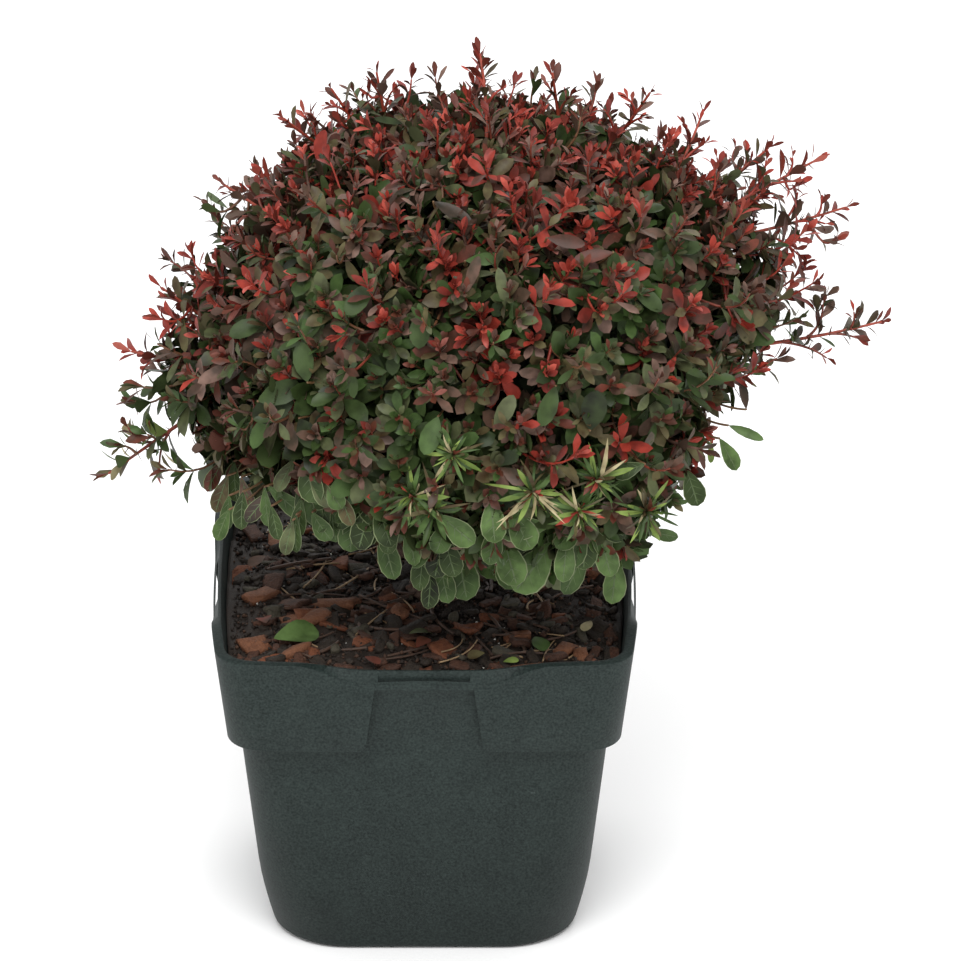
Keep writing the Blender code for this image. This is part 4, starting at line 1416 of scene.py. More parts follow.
# The leaves are small, leathery and spoon-shaped, set round each shoot: narrow and red at its
# tip, purple-brown or green and broader below. At the skirt they are large, veined and rimmed.
LEAF_SHAPES = (
    # name, then how wide it is at each place along it
    ("tip", ((0.36, 0.60), (0.64, 1.00), (0.87, 0.62))),
    ("blade", ((0.18, 0.30), (0.42, 0.78), (0.66, 1.00), (0.87, 0.72))),
    ("inner", ((0.25, 0.55), (0.60, 1.00), (0.88, 0.70))),
    ("large", ((0.06, 0.20), (0.22, 0.50), (0.42, 0.82), (0.62, 1.00), (0.80, 0.92), (0.94, 0.56))),
    ("oval", ((0.10, 0.34), (0.30, 0.80), (0.54, 1.00), (0.78, 0.86), (0.93, 0.50))),
    ("strap", ((0.20, 0.50), (0.45, 0.95), (0.70, 1.00), (0.88, 0.60))),
)
SHAPE = {row[0]: number for number, row in enumerate(LEAF_SHAPES)}
# Rims, ribs and veins of large leaves, as shares of the half width and of the way to a vein
MARGIN_SHARE = 0.075
RIB_SHARE = 0.06
VEIN_REACH = 0.78
VEIN_SHARE = 0.14
MARGIN_LIFT = 0.00010
LEAF_KEPT = 0.92
LEAF_LENGTH_PLAY = (0.70, 1.22)
LEAF_WIDTH_PLAY = (0.86, 1.14)
LEAF_BEND = (0.00, 0.34)
LEAF_FOLD = (0.08, 0.45)
# The light parts of a leaf's patches are brightened by this gain: a painted sheen.
PAINTED_SHEEN_GAIN = 1.18
FACE_SHINE = 0.18
LEAF_GRAIN = (110.0, 1500.0, 0.30)
LEAF_RELIEF = (0.25, 0.0002)
ROUGHNESS_PLAY = 0.08
DISTANCE_PLAY = 0.15
SPREAD_PLAY = 10.0
BEND_SHORTENS = 0.25
LEAST_STEM = 1.2
# Shares of the shoot's way, outwards and up in the way that a leaf faces
TUFT_FACING = (0.9, 0.45, 0.25)
TUFT_PLAY = 0.22
LEAVES_SEED = 81


def leaf_template(stations):
    """Places along and across a leaf of unit length and half width, and its triangles."""
    rows = [(0.0, 0.0)]
    for along, half in stations:
        rows += [(along, -half), (along, 0.0), (along, half)]
    rows.append((1.0, 0.0))
    found = [(0, 2, 1), (0, 3, 2)]
    for level in range(len(stations) - 1):
        low = 1 + 3 * level
        for side in (0, 1):
            a, b, c, d = low + side, low + side + 1, low + side + 4, low + side + 3
            found += [(a, b, c), (a, c, d)]
    last = len(rows) - 1
    found += [(last - 3, last - 2, last), (last - 2, last - 1, last)]
    return np.array(rows), np.array(found)


LEAF_TEMPLATES = [leaf_template(stations) for _, stations in LEAF_SHAPES]
# One row a leaf: root, along, facing, length, width as a share, bend, fold, kind, shape
ROOT = slice(0, 3)
ALONG = slice(3, 6)
FACING = slice(6, 9)
LENGTH, WIDTH, BEND, FOLD, LEAF_KIND, LEAF_SHAPE = range(9, 15)


def leaf_rows(count, *columns):
    """Rows of leaves from their columns, in the order above."""
    return np.concatenate([column.reshape(count, -1) for column in columns], 1)


def leaf_points(leaves, places):
    """Many leaves at once: bend bows each one back, fold raises its two halves."""
    along = leaves[:, ALONG]
    facing = leaves[:, FACING]
    facing = unit(facing - along * (facing * along).sum(1, keepdims=True))
    beside = np.cross(along, facing)
    t = places[None, :, 0]
    s = places[None, :, 1]
    length = leaves[:, LENGTH, None]
    bend = leaves[:, BEND, None]
    half = length * leaves[:, WIDTH, None] / 2
    out = length * t * (1.0 - BEND_SHORTENS * abs(bend) * t)
    lift = leaves[:, FOLD, None] * abs(s) * half - bend * t * t * length
    points = leaves[:, None, ROOT] + out[..., None] * along[:, None]
    points = points + (s * half)[..., None] * beside[:, None]
    return points + lift[..., None] * facing[:, None], facing


LEAF_KINDS = (
    # name, tint of the face, second tint of its patches, underside, roughness
    ("coral", (0.385, 0.072, 0.050), (0.210, 0.030, 0.020), (0.340, 0.085, 0.062), 0.40),
    ("scarlet", (0.285, 0.036, 0.023), (0.140, 0.018, 0.012), (0.220, 0.044, 0.030), 0.40),
    ("crimson", (0.180, 0.024, 0.017), (0.085, 0.015, 0.010), (0.150, 0.034, 0.024), 0.40),
    ("rose", (0.230, 0.078, 0.062), (0.100, 0.032, 0.023), (0.190, 0.070, 0.056), 0.40),
    ("brick", (0.135, 0.035, 0.022), (0.055, 0.023, 0.012), (0.120, 0.041, 0.028), 0.40),
    ("maroon", (0.092, 0.028, 0.019), (0.036, 0.018, 0.010), (0.090, 0.036, 0.026), 0.40),
    ("pale_purple", (0.180, 0.108, 0.084), (0.064, 0.038, 0.026), (0.145, 0.092, 0.072), 0.44),
    ("purple_brown", (0.110, 0.060, 0.043), (0.042, 0.030, 0.018), (0.090, 0.056, 0.040), 0.40),
    ("dark_purple", (0.046, 0.027, 0.018), (0.017, 0.014, 0.008), (0.052, 0.033, 0.023), 0.38),
    ("olive_brown", (0.092, 0.080, 0.036), (0.044, 0.027, 0.012), (0.084, 0.074, 0.038), 0.42),
    ("grey_green", (0.082, 0.096, 0.042), (0.034, 0.034, 0.016), (0.074, 0.084, 0.040), 0.42),
    ("deep_green", (0.022, 0.034, 0.010), (0.009, 0.012, 0.004), (0.029, 0.040, 0.015), 0.38),
    ("dark_green", (0.036, 0.058, 0.017), (0.020, 0.032, 0.009), (0.044, 0.062, 0.022), 0.40),
    ("mid_green", (0.052, 0.090, 0.025), (0.028, 0.050, 0.013), (0.066, 0.098, 0.033), 0.42),
    ("fresh_green", (0.078, 0.130, 0.038), (0.036, 0.062, 0.016), (0.095, 0.140, 0.046), 0.42),
    ("lime", (0.180, 0.245, 0.058), (0.100, 0.150, 0.034), (0.160, 0.210, 0.060), 0.44),
    ("straw", (0.400, 0.350, 0.205), (0.200, 0.160, 0.080), (0.320, 0.280, 0.160), 0.55),
    # The shaded kind is near-black: painted shade, for leaves deep inside the crown.
    ("shaded", (0.012, 0.016, 0.007), (0.006, 0.007, 0.003), (0.015, 0.019, 0.009), 0.60),
)
KIND = {row[0]: number for number, row in enumerate(LEAF_KINDS)}
# The kinds from this one on take their finish from the green leaves
FIRST_GREEN = KIND["grey_green"]


def leaf_material(name, face, patch, underside, roughness):
    """Leathery blade: its tint runs into darker patches, and its underside is paler and duller."""
    made, shader, mottle = mottled(name, patch, face, *LEAF_GRAIN)
    nodes = made.node_tree.nodes
    shader.inputs["Specular IOR Level"].default_value = FACE_SHINE
    patches = shader_node(nodes, "MapRange", {"From Min": 0.34, "From Max": 0.66})
    wire(mottle, "Cloud", patches, "Value")
    # The face's tint is raised by the gain, a painted sheen on the light parts of the patches.
    tints = {"A": (*patch, 1.0), "B": (*(PAINTED_SHEEN_GAIN * part for part in face), 1.0)}
    tint = shader_node(nodes, "Mix", tints, data_type="RGBA")
    wire(patches, "Result", tint, "Factor")
    side = shader_node(nodes, "NewGeometry")
    two_sided = shader_node(nodes, "Mix", {"B": (*underside, 1.0)}, data_type="RGBA")
    wire(side, "Backfacing", two_sided, "Factor")
    wire(tint, "Result", two_sided, "A")
    wire(two_sided, "Result", shader, "Base Color")
    either_way = {"To Min": roughness - ROUGHNESS_PLAY, "To Max": roughness + ROUGHNESS_PLAY}
    rough = shader_node(nodes, "MapRange", either_way)
    wire(mottle, "Cloud", rough, "Value")
    wire(rough, "Result", shader, "Roughness")
    relief(made, mottle, *LEAF_RELIEF)
    return made


# A shoot's palette from its tip down: kinds of leaf in three zones
PALETTES = {
    "scarlet": (
        ("coral", "scarlet", "scarlet", "coral"),
        ("scarlet", "crimson", "maroon", "olive_brown"),
        ("pale_purple", "maroon", "dark_green", "olive_brown"),
    ),
    "crimson": (
        ("scarlet", "crimson", "coral", "crimson"),
        ("crimson", "maroon", "pale_purple", "olive_brown"),
        ("purple_brown", "dark_green", "dark_green", "olive_brown"),
    ),
    "maroon": (
        ("brick", "crimson", "scarlet", "rose"),
        ("maroon", "purple_brown", "pale_purple", "olive_brown"),
        ("dark_purple", "grey_green", "dark_green", "mid_green"),
    ),
    "purple": (
        ("maroon", "purple_brown", "brick", "pale_purple"),
        ("purple_brown", "dark_green", "olive_brown", "grey_green"),
        ("dark_green", "deep_green", "mid_green", "grey_green"),
    ),
    "olive": (
        ("brick", "olive_brown", "maroon", "mid_green"),
        ("olive_brown", "dark_green", "purple_brown", "grey_green"),
        ("dark_green", "deep_green", "grey_green", "mid_green"),
    ),
    "green": (
        ("olive_brown", "mid_green", "brick", "grey_green"),
        ("mid_green", "dark_green", "grey_green", "dark_green"),
        ("dark_green", "mid_green", "deep_green", "dark_green"),
    ),
    "skirt": (
        ("brick", "mid_green", "olive_brown", "fresh_green"),
        ("fresh_green", "mid_green", "dark_green", "grey_green"),
        ("mid_green", "dark_green", "deep_green", "dark_green"),
    ),
    "straw": (
        ("scarlet", "brick", "coral", "olive_brown"),
        ("straw", "fresh_green", "mid_green", "olive_brown"),
        ("fresh_green", "mid_green", "lime", "dark_green"),
    ),
    # The older leaves inside the crown take near-black tints: painted shade in the gaps between the shoots.
    "inner": (
        ("deep_green", "deep_green", "dark_purple", "dark_green"),
        ("deep_green", "shaded", "deep_green", "shaded"),
        ("shaded", "shaded", "deep_green", "shaded"),
    ),
}
PALETTE_NAMES = tuple(PALETTES)
PALETTE_TABLE = np.array([[[KIND[kind] for kind in zone] for zone in zones] for zones in PALETTES.values()])
PALETTE_SHARES = (
    # height in the crown, then shares of scarlet, crimson, maroon, purple, olive and green
    (-0.70, 0.00, 0.02, 0.03, 0.08, 0.27, 0.60),
    (-0.35, 0.01, 0.03, 0.07, 0.17, 0.30, 0.42),
    (0.05, 0.02, 0.06, 0.12, 0.23, 0.27, 0.30),
    (0.45, 0.04, 0.12, 0.20, 0.25, 0.21, 0.18),
    (0.90, 0.16, 0.26, 0.28, 0.20, 0.07, 0.03),
)
# The crown's sides get more sun, so they are as red as leaves this much higher up. A side
# begins at the second share of the half width, and its warmth is full after the third.
SIDE_WARMTH = 0.38
SIDE_START = 0.50
SIDE_SPREAD = 0.35
SKIRT_BELOW = -0.62
SKIRT_LUCK = 0.10
# Where clusters of scarlet shoots show, across and up the photograph, in millimetres
RED_SPOTS = (
    (-110, 307), (-112, 291), (-111, 275), (-83, 307), (-82, 290), (-50, 356),
    (-69, 319), (-51, 321), (-35, 328), (-14, 324), (-22, 328), (10, 372),
    (6, 354), (-4, 340), (18, 343), (-20, 348), (24, 393), (38, 340),
    (45, 327), (-14, 290), (-22, 275), (10, 282), (27, 275), (-50, 271),
    (-112, 267), (-91, 236), (-98, 214), (-88, 194), (-33, 236), (-30, 251),
    (-45, 203), (-22, 205), (-33, 191), (-18, 185), (16, 222), (28, 214),
    (42, 259), (34, 246), (27, 233), (20, 269), (63, 269), (81, 269),
    (99, 268), (42, 251), (64, 250), (117, 232), (106, 228), (56, 220),
    (89, 212), (78, 211), (125, 212), (80, 378), (39, 371), (36, 363),
    (75, 333), (69, 328), (103, 346), (111, 361), (131, 345), (117, 329),
    (87, 318), (106, 315), (110, 307), (155, 307), (137, 304), (167, 298),
    (178, 307), (174, 322), (191, 348), (182, 333), (196, 332), (187, 315),
    (185, 286), (171, 286), (131, 276), (95, 272), (78, 280), (72, 294),
    (101, 293),
)
SPOT_SIZE = 0.0052
SIGHT_SLOPE = 0.45
SEEN_WITHIN = 0.01


def picture_places(points, side):
    """Where points appear across and up a view from the front (1) or from the back (-1)."""
    across = points[:, 0] if side > 0 else 2 * CROWN_HEART[0] - points[:, 0]
    rise = points[:, 2] * math.cos(CAMERA_ELEVATION) + side * points[:, 1] * math.sin(CAMERA_ELEVATION)
    return np.stack((across, rise), 1)


def palettes_by_place(rng, tips):
    """Deals a palette to every shoot: redder towards the top, green below, scarlet at the spots."""
    height = crown_height(tips)
    aside = abs(tips[:, 0] - CROWN_HEART[0]) / CROWN_HALF_WIDTH
    warmth = height + SIDE_WARMTH * np.clip((aside - SIDE_START) / SIDE_SPREAD, 0.0, 1.0)
    shares = np.array(PALETTE_SHARES)
    luck = rng.uniform(0.0, 1.0, len(tips))
    limit = np.zeros(len(tips))
    names = np.full(len(tips), PALETTE_NAMES.index("green"))
    for column in range(1, shares.shape[1]):
        raised = limit + np.interp(warmth, shares[:, 0], shares[:, column])
        names[(luck >= limit) & (luck < raised)] = column - 1
        limit = raised
    spots = np.array(RED_SPOTS) / 1000
    for side in (1, -1):
        depth = side * tips[:, 1] * math.cos(CAMERA_ELEVATION)
        seen = depth - (tips[:, 2] - CROWN_HEART[2]) * SIGHT_SLOPE < SEEN_WITHIN
        _, away = nearest(picture_places(tips, side), spots)
        names[seen & (away < SPOT_SIZE)] = PALETTE_NAMES.index("scarlet")
    names[(height < SKIRT_BELOW) & (luck > SKIRT_LUCK)] = PALETTE_NAMES.index("skirt")
    return names


ROSETTE = (
    # distance from the tip, leaves, spread from the shoot in degrees, share of full length,
    # width as a share of length, zone, shape
    (0.0000, 3, 13, 0.42, 0.38, 0, "tip"),
    (0.0018, 4, 28, 0.52, 0.40, 0, "tip"),
    (0.0052, 4, 43, 0.68, 0.43, 1, "blade"),
    (0.0092, 5, 56, 0.86, 0.48, 1, "blade"),
    (0.0142, 5, 66, 1.04, 0.53, 2, "blade"),
    (0.0205, 4, 73, 1.16, 0.56, 2, "blade"),
    (0.0280, 4, 78, 1.20, 0.57, 2, "inner"),
    (0.0370, 4, 80, 1.20, 0.57, 2, "inner"),
)
SPRIG = (
    (0.0000, 2, 16, 0.62, 0.36, 0, "tip"),
    (0.0035, 2, 38, 0.72, 0.38, 0, "tip"),
    (0.0085, 2, 46, 0.86, 0.40, 1, "blade"),
    (0.0145, 3, 50, 0.96, 0.41, 1, "blade"),
    (0.0215, 2, 54, 1.02, 0.42, 1, "blade"),
    (0.0300, 3, 58, 1.08, 0.44, 2, "blade"),
    (0.0400, 3, 62, 1.10, 0.46, 2, "blade"),
    (0.0520, 3, 66, 1.10, 0.50, 2, "blade"),
)
LEADER = (
    (0.0000, 3, 16, 0.50, 0.36, 0, "tip"),
    (0.0030, 3, 34, 0.58, 0.36, 0, "tip"),
    (0.0085, 3, 48, 0.70, 0.38, 1, "tip"),
    (0.0150, 3, 54, 0.80, 0.40, 1, "blade"),
    (0.0225, 3, 60, 0.92, 0.44, 1, "blade"),
    (0.0300, 4, 66, 1.02, 0.48, 2, "blade"),
    (0.0390, 4, 72, 1.08, 0.52, 2, "blade"),
)
INNER = (
    (0.0000, 4, 36, 0.85, 0.52, 0, "inner"),
    (0.0070, 5, 62, 1.05, 0.56, 1, "inner"),
    (0.0150, 5, 76, 1.10, 0.56, 2, "inner"),
)


def swung(angle, first, second):
    """Directions turned by an angle from the first towards the second."""
    return np.cos(angle)[:, None] * first + np.sin(angle)[:, None] * second


def tufts(rng, paths, palette, size, droop, broad, pattern):
    """Every leaf of many shoots, as rows."""
    count = len(paths)
    aside = unit(rng.normal(size=(count, 3)))
    turn = rng.uniform(0, 2 * math.pi, count)
    gathered = []
    for distance, leaves, spread, share, slender, zone, shape in pattern:
        play = 1.0 + rng.uniform(-DISTANCE_PLAY, DISTANCE_PLAY, count)
        root, axis, whole = at_distance(paths, distance * play)
        across = unit(np.cross(axis, aside))
        beside = np.cross(axis, across)
        for leaf in range(leaves):
            turn = turn + GOLDEN_ANGLE
            kept = (rng.uniform(size=count) < LEAF_KEPT) & (whole > distance * LEAST_STEM)
            angle = np.radians(spread + rng.normal(scale=SPREAD_PLAY, size=count))
            along = swung(angle, axis, swung(turn, across, beside))
            along[:, 2] -= droop * share
            along = unit(along)
            outward = unit(root - CROWN_HEART)
            facing = blend(TUFT_FACING, axis, outward, UP)
            facing = facing + rng.normal(scale=TUFT_PLAY, size=(count, 3))
            rows = leaf_rows(
                count,
                root,
                along,
                facing,
                size * share * rng.uniform(*LEAF_LENGTH_PLAY, count),
                slender * broad * rng.uniform(*LEAF_WIDTH_PLAY, count),
                rng.uniform(*LEAF_BEND, count),
                rng.uniform(*LEAF_FOLD, count),
                PALETTE_TABLE[palette, zone, rng.integers(0, 4, count)],
                np.full(count, SHAPE[shape]),
            )
            gathered.append(rows[kept])
    return np.concatenate(gathered)


# Heights in the crown, and the leaves' length, breadth and droop at each
SIZE_AT = ((-1.0, -0.6, -0.2, 0.4, 1.0), (0.0200, 0.0190, 0.0172, 0.0156, 0.0145))
BREADTH_AT = ((-0.8, -0.2, 0.5, 1.0), (1.10, 1.02, 0.94, 0.88))
DROOP_AT = ((-1.0, -0.5, 0.0), (0.60, 0.25, 0.0))
# The paths and palettes of all shoots that carry leaves, kept for the shoots themselves
SHOOT_GROUPS = []
# The long shoots' palettes, in their order
LONG_PALETTES = (
    "maroon", "crimson", "scarlet", "maroon", "crimson", "crimson", "maroon", "crimson",
    "maroon", "crimson", "crimson", "maroon", "scarlet", "crimson", "straw",
)
# Sprays of the long shoots rise, so their droop is below 0
SPRIG_DROOP = -0.28
LEADER_SIZE = 1.12
LEADER_BREADTH = 0.95
LONG_SHOOT_SIZE = 0.86
SIDE_SHOOT_SIZE = 0.74
TWIG_LEAF_SIZE = 1.10


def grown(rng, paths, palette, pattern, scale=1.0, wide=1.0):
    """Leaves of shoots by their place in the crown. The shoots are kept for their stems."""
    height = crown_height(paths[:, -1])
    SHOOT_GROUPS.append((paths, palette))
    size = np.interp(height, *SIZE_AT) * scale
    breadth = np.interp(height, *BREADTH_AT) * wide
    droop = np.full(len(paths), SPRIG_DROOP) if pattern is SPRIG else np.interp(height, *DROOP_AT)
    return tufts(rng, paths, palette, size, droop, breadth, pattern)


def shoot_leaves():
    """The leaves of the surface's shoots, the leaders, the long shoots and the older shoots."""
    rng = np.random.default_rng(LEAVES_SEED)
    palette = palettes_by_place(rng, OUTER_PATHS[:, -1])
    rosettes = grown(rng, OUTER_PATHS[~IS_LEADER], palette[~IS_LEADER], ROSETTE)
    leaders = grown(rng, OUTER_PATHS[IS_LEADER], palette[IS_LEADER], LEADER, LEADER_SIZE, LEADER_BREADTH)
    long_palette = np.array([PALETTE_NAMES.index(name) for name in LONG_PALETTES])
    long_ones = grown(rng, TWIG_PATHS[TWIG_COUNT:], long_palette, SPRIG, LONG_SHOOT_SIZE)
    sides = grown(rng, SIDE_PATHS, long_palette[SIDE_OWNER], SPRIG, SIDE_SHOOT_SIZE)
    inner_palette = np.full(len(INNER_PATHS), PALETTE_NAMES.index("inner"))
    inner = grown(rng, INNER_PATHS, inner_palette, INNER)
    twig_palette = palettes_by_place(rng, TWIG_TIPS[:TWIG_COUNT])
    on_twigs = grown(rng, TWIG_PATHS[:TWIG_COUNT], twig_palette, LEADER, TWIG_LEAF_SIZE)
    return np.concatenate((rosettes, leaders, long_ones, sides, inner, on_twigs))


# The skirt is a fringe of large hanging leaves with pale rims and veins. Single leaves and
# tufts of straw-coloured straps that catch the eye are set one by one, each on its stalk.
SKIRT_COUNT = 96
SKIRT_HEIGHTS = (-0.34, -0.72)
SKIRT_REACH = (0.66, 0.80)
SKIRT_FAN = (-66, -40, -13, 13, 40, 66)
SKIRT_LEAF = (0.016, 0.025)
SKIRT_SLENDER = (0.44, 0.60)
SKIRT_BEND = (0.05, 0.30)
SKIRT_FOLD = (0.05, 0.24)
SKIRT_KEPT = 0.86
SKIRT_SEED = 84
SKIRT_TURN_PLAY = 0.06
SKIRT_FAN_PLAY = 8.0
SKIRT_FLATNESS = np.array((1.0, 1.0, 0.25))
SKIRT_HANG = 0.85
SKIRT_OUT = 0.55
SKIRT_FACING = (0.75, 0.65)
SKIRT_PLAY = 0.14
SKIRT_STALK = 0.002
# Shares of towards the camera, outwards and up in the way that a single leaf faces
PLACED_FACING = (0.7, 0.6, 0.2)
PLACED_PLAY = 0.16
STRAP_AXIS = (0.8, 0.35)
STRAP_PLAY = 0.3
PLACED_SEED = 85
STRAP_SEED = 86
STALK_SEED = 92
STALK_SIDES = 5
STRAP_REACH = 0.90
STALK_LENGTH = 0.022
PLACED_REACH = 0.89
PALE_RIMS_BELOW = 0.215
# A single leaf is seen at a slant, so it is made longer and narrower than it looks
LENGTH_GAIN = 1.14
WIDTH_GAIN = 0.76
PLACED_BEND = (0.02, 0.20)
PLACED_FOLD = (0.08, 0.30)
PLACED_LEAN = 0.12
PLACED_SINK = 0.002
STALK_SAG = 0.003
STALK_RADIUS = 0.0006
ACROSS_VIEW = np.array((1.0, 0.0, 0.0))
UP_VIEW = np.array((0.0, math.sin(CAMERA_ELEVATION), math.cos(CAMERA_ELEVATION)))
TOWARDS_CAMERA = np.array(towards_camera)
# Where a line of sight is searched for the crown: its start, its end and how many places
LINE_OF_SIGHT = (0.30, -0.10, 801)
STRAP_TURN_PLAY = 0.45
STRAP_SPREAD_PLAY = 20.0
STRAP_LENGTH_PLAY = (0.60, 1.25)
STRAP_WIDTH_PLAY = (0.7, 1.5)
STRAP_BEND = (-0.5, 1.4)
STRAP_FOLD = (0.2, 0.9)
STRAP_RINGS = (
    # leaves, spread in degrees, length, width as a share, zone, shape
    (6, 20, 0.0075, 0.26, 0, "tip"),
    (13, 34, 0.0110, 0.12, 2, "strap"),
    (18, 52, 0.0145, 0.10, 1, "strap"),
    (14, 72, 0.0165, 0.12, 2, "strap"),
)
# Tufts of straps: across and up the photograph, in millimetres
STRAP_SPOTS = ((14, 208), (82, 196), (52, 190), (-5, 188), (106, 181), (5, 182), (74, 181))
# Single leaves: middle across and up the photograph, length and width in millimetres, the way
# that each one points in degrees from the right, and its kind
PLACED_LEAVES = (
    (-98, 190, 17.0, 10.0, 250, "olive_brown"),
    (-92, 196, 18.0, 11.0, 270, "dark_green"),
    (-86, 189, 17.0, 10.0, 285, "purple_brown"),
    (-80, 194, 18.0, 11.0, 255, "dark_green"),
    (-76, 184, 17.0, 10.0, 275, "mid_green"),
    (-70, 193, 17.0, 11.0, 300, "maroon"),
    (-66, 199, 16.0, 10.0, 240, "grey_green"),
    (-60, 179, 17.0, 10.5, 262, "dark_green"),
    (-54, 184, 17.0, 11.0, 285, "mid_green"),
    (-48, 180, 16.0, 10.0, 255, "dark_green"),
    (-44, 176, 17.0, 11.0, 275, "mid_green"),
    (-38, 183, 16.0, 10.0, 290, "olive_brown"),
    (-95, 181, 15.0, 9.0, 262, "mid_green"),
    (-89, 203, 17.0, 10.0, 230, "maroon"),
    (-83, 207, 16.0, 10.0, 290, "deep_green"),
    (-72, 176, 15.0, 9.0, 280, "dark_green"),
    (-64, 189, 17.0, 10.0, 268, "purple_brown"),
    (-101, 199, 16.0, 9.5, 240, "maroon"),
    (-50, 192, 17.0, 11.0, 300, "grey_green"),
    (-35, 172, 17.5, 15.1, 268, "mid_green"),
    (-1, 155, 20.5, 11.5, 262, "dark_green"),
    (9, 149, 21.0, 12.5, 283, "mid_green"),
    (3, 144, 17.0, 11.0, 268, "deep_green"),
    (-18, 162, 24.3, 13.1, 282, "mid_green"),
    (-6, 167, 20.4, 10.7, 275, "fresh_green"),
    (-17, 169, 14.6, 10.7, 265, "dark_green"),
    (12, 160, 18.5, 13.6, 285, "dark_green"),
    (15, 173, 19.4, 15.6, 320, "fresh_green"),
    (18, 153, 25.3, 18.5, 280, "mid_green"),
    (33, 178, 20.4, 14.6, 275, "fresh_green"),
    (46, 173, 19.4, 16.5, 300, "fresh_green"),
    (39, 155, 20.4, 14.6, 290, "mid_green"),
    (9, 169, 14.6, 12.6, 250, "mid_green"),
    (1, 164, 19.4, 9.7, 240, "mid_green"),
    (41, 158, 22.4, 17.5, 285, "fresh_green"),
    (54, 155, 27.2, 21.4, 235, "fresh_green"),
    (68, 160, 21.4, 12.2, 265, "fresh_green"),
    (74, 154, 24.3, 13.6, 250, "mid_green"),
    (87, 161, 19.4, 13.6, 285, "fresh_green"),
    (92, 149, 21.4, 14.1, 268, "fresh_green"),
    (49, 173, 23.3, 15.1, 185, "fresh_green"),
    (33, 167, 19.4, 12.6, 262, "mid_green"),
    (-62, 171, 16.5, 9.7, 265, "dark_green"),
    (-50, 174, 14.6, 11.7, 300, "mid_green"),
    (-65, 169, 15.6, 8.8, 255, "grey_green"),
    (-97, 175, 14.6, 9.7, 245, "mid_green"),
    (-88, 182, 16.5, 10.7, 265, "dark_green"),
    (-67, 186, 21.4, 10.7, 320, "mid_green"),
    (-79, 184, 17.5, 9.7, 230, "dark_purple"),
    (-58, 186, 19.4, 11.7, 280, "dark_green"),
    (-43, 188, 11.7, 10.7, 300, "fresh_green"),
    (-71, 230, 19.4, 14.6, 200, "deep_green"),
    (-70, 237, 20.4, 13.6, 20, "dark_green"),
    (-57, 251, 17.5, 11.7, 100, "dark_green"),
    (-56, 219, 14.6, 12.6, 300, "deep_green"),
    (-55, 196, 19.4, 16.5, 280, "dark_green"),
    (-78, 220, 16.5, 9.7, 240, "mid_green"),
    (-97, 248, 21.4, 8.8, 200, "pale_purple"),
    (4, 218, 17.5, 11.7, 250, "mid_green"),
    (81, 228, 17.5, 14.6, 80, "deep_green"),
    (38, 227, 17.5, 9.7, 60, "grey_green"),
    (60, 232, 18.5, 10.7, 250, "dark_green"),
    (99, 201, 14.6, 9.7, 200, "dark_green"),
    (129, 193, 16.5, 13.6, 290, "dark_green"),
    (159, 264, 16.5, 8.8, 355, "fresh_green"),
    (154, 219, 16.5, 5.8, 338, "fresh_green"),
    (146, 209, 15.6, 10.7, 300, "fresh_green"),
    (138, 210, 9.7, 4.4, 270, "lime"),
    (154, 236, 12.6, 5.8, 100, "dark_purple"),
    (156, 250, 12.6, 5.8, 340, "mid_green"),
    (113, 170, 15.6, 7.8, 345, "mid_green"),
    (109, 174, 8.8, 5.8, 300, "lime"),
    (66, 178, 12.6, 7.8, 340, "lime"),
    (13, 324, 19.4, 8.8, 330, "dark_purple"),
    (28, 301, 16.5, 7.3, 5, "mid_green"),
    (-26, 289, 9.7, 7.8, 60, "mid_green"),
    (38, 286, 18.5, 6.8, 100, "grey_green"),
    (23, 293, 16.5, 6.8, 70, "purple_brown"),
    (-38, 278, 11.7, 7.8, 330, "mid_green"),
    (-16, 369, 13.1, 4.9, 170, "deep_green"),
    (-50, 356, 14.6, 8.8, 80, "scarlet"),
    (155, 307, 12.6, 6.3, 30, "brick"),
    (-30, 283, 17.5, 11.7, 230, "dark_green"),
    (106, 283, 16.5, 10.7, 320, "dark_green"),
    (82, 303, 17.5, 7.8, 190, "maroon"),
    (-1, 269, 17.5, 12.6, 260, "dark_green"),
    (130, 244, 16.5, 10.7, 300, "dark_green"),
    (-84, 269, 16.5, 10.7, 200, "dark_green"),
    (67, 310, 16.5, 7.8, 350, "maroon"),
)


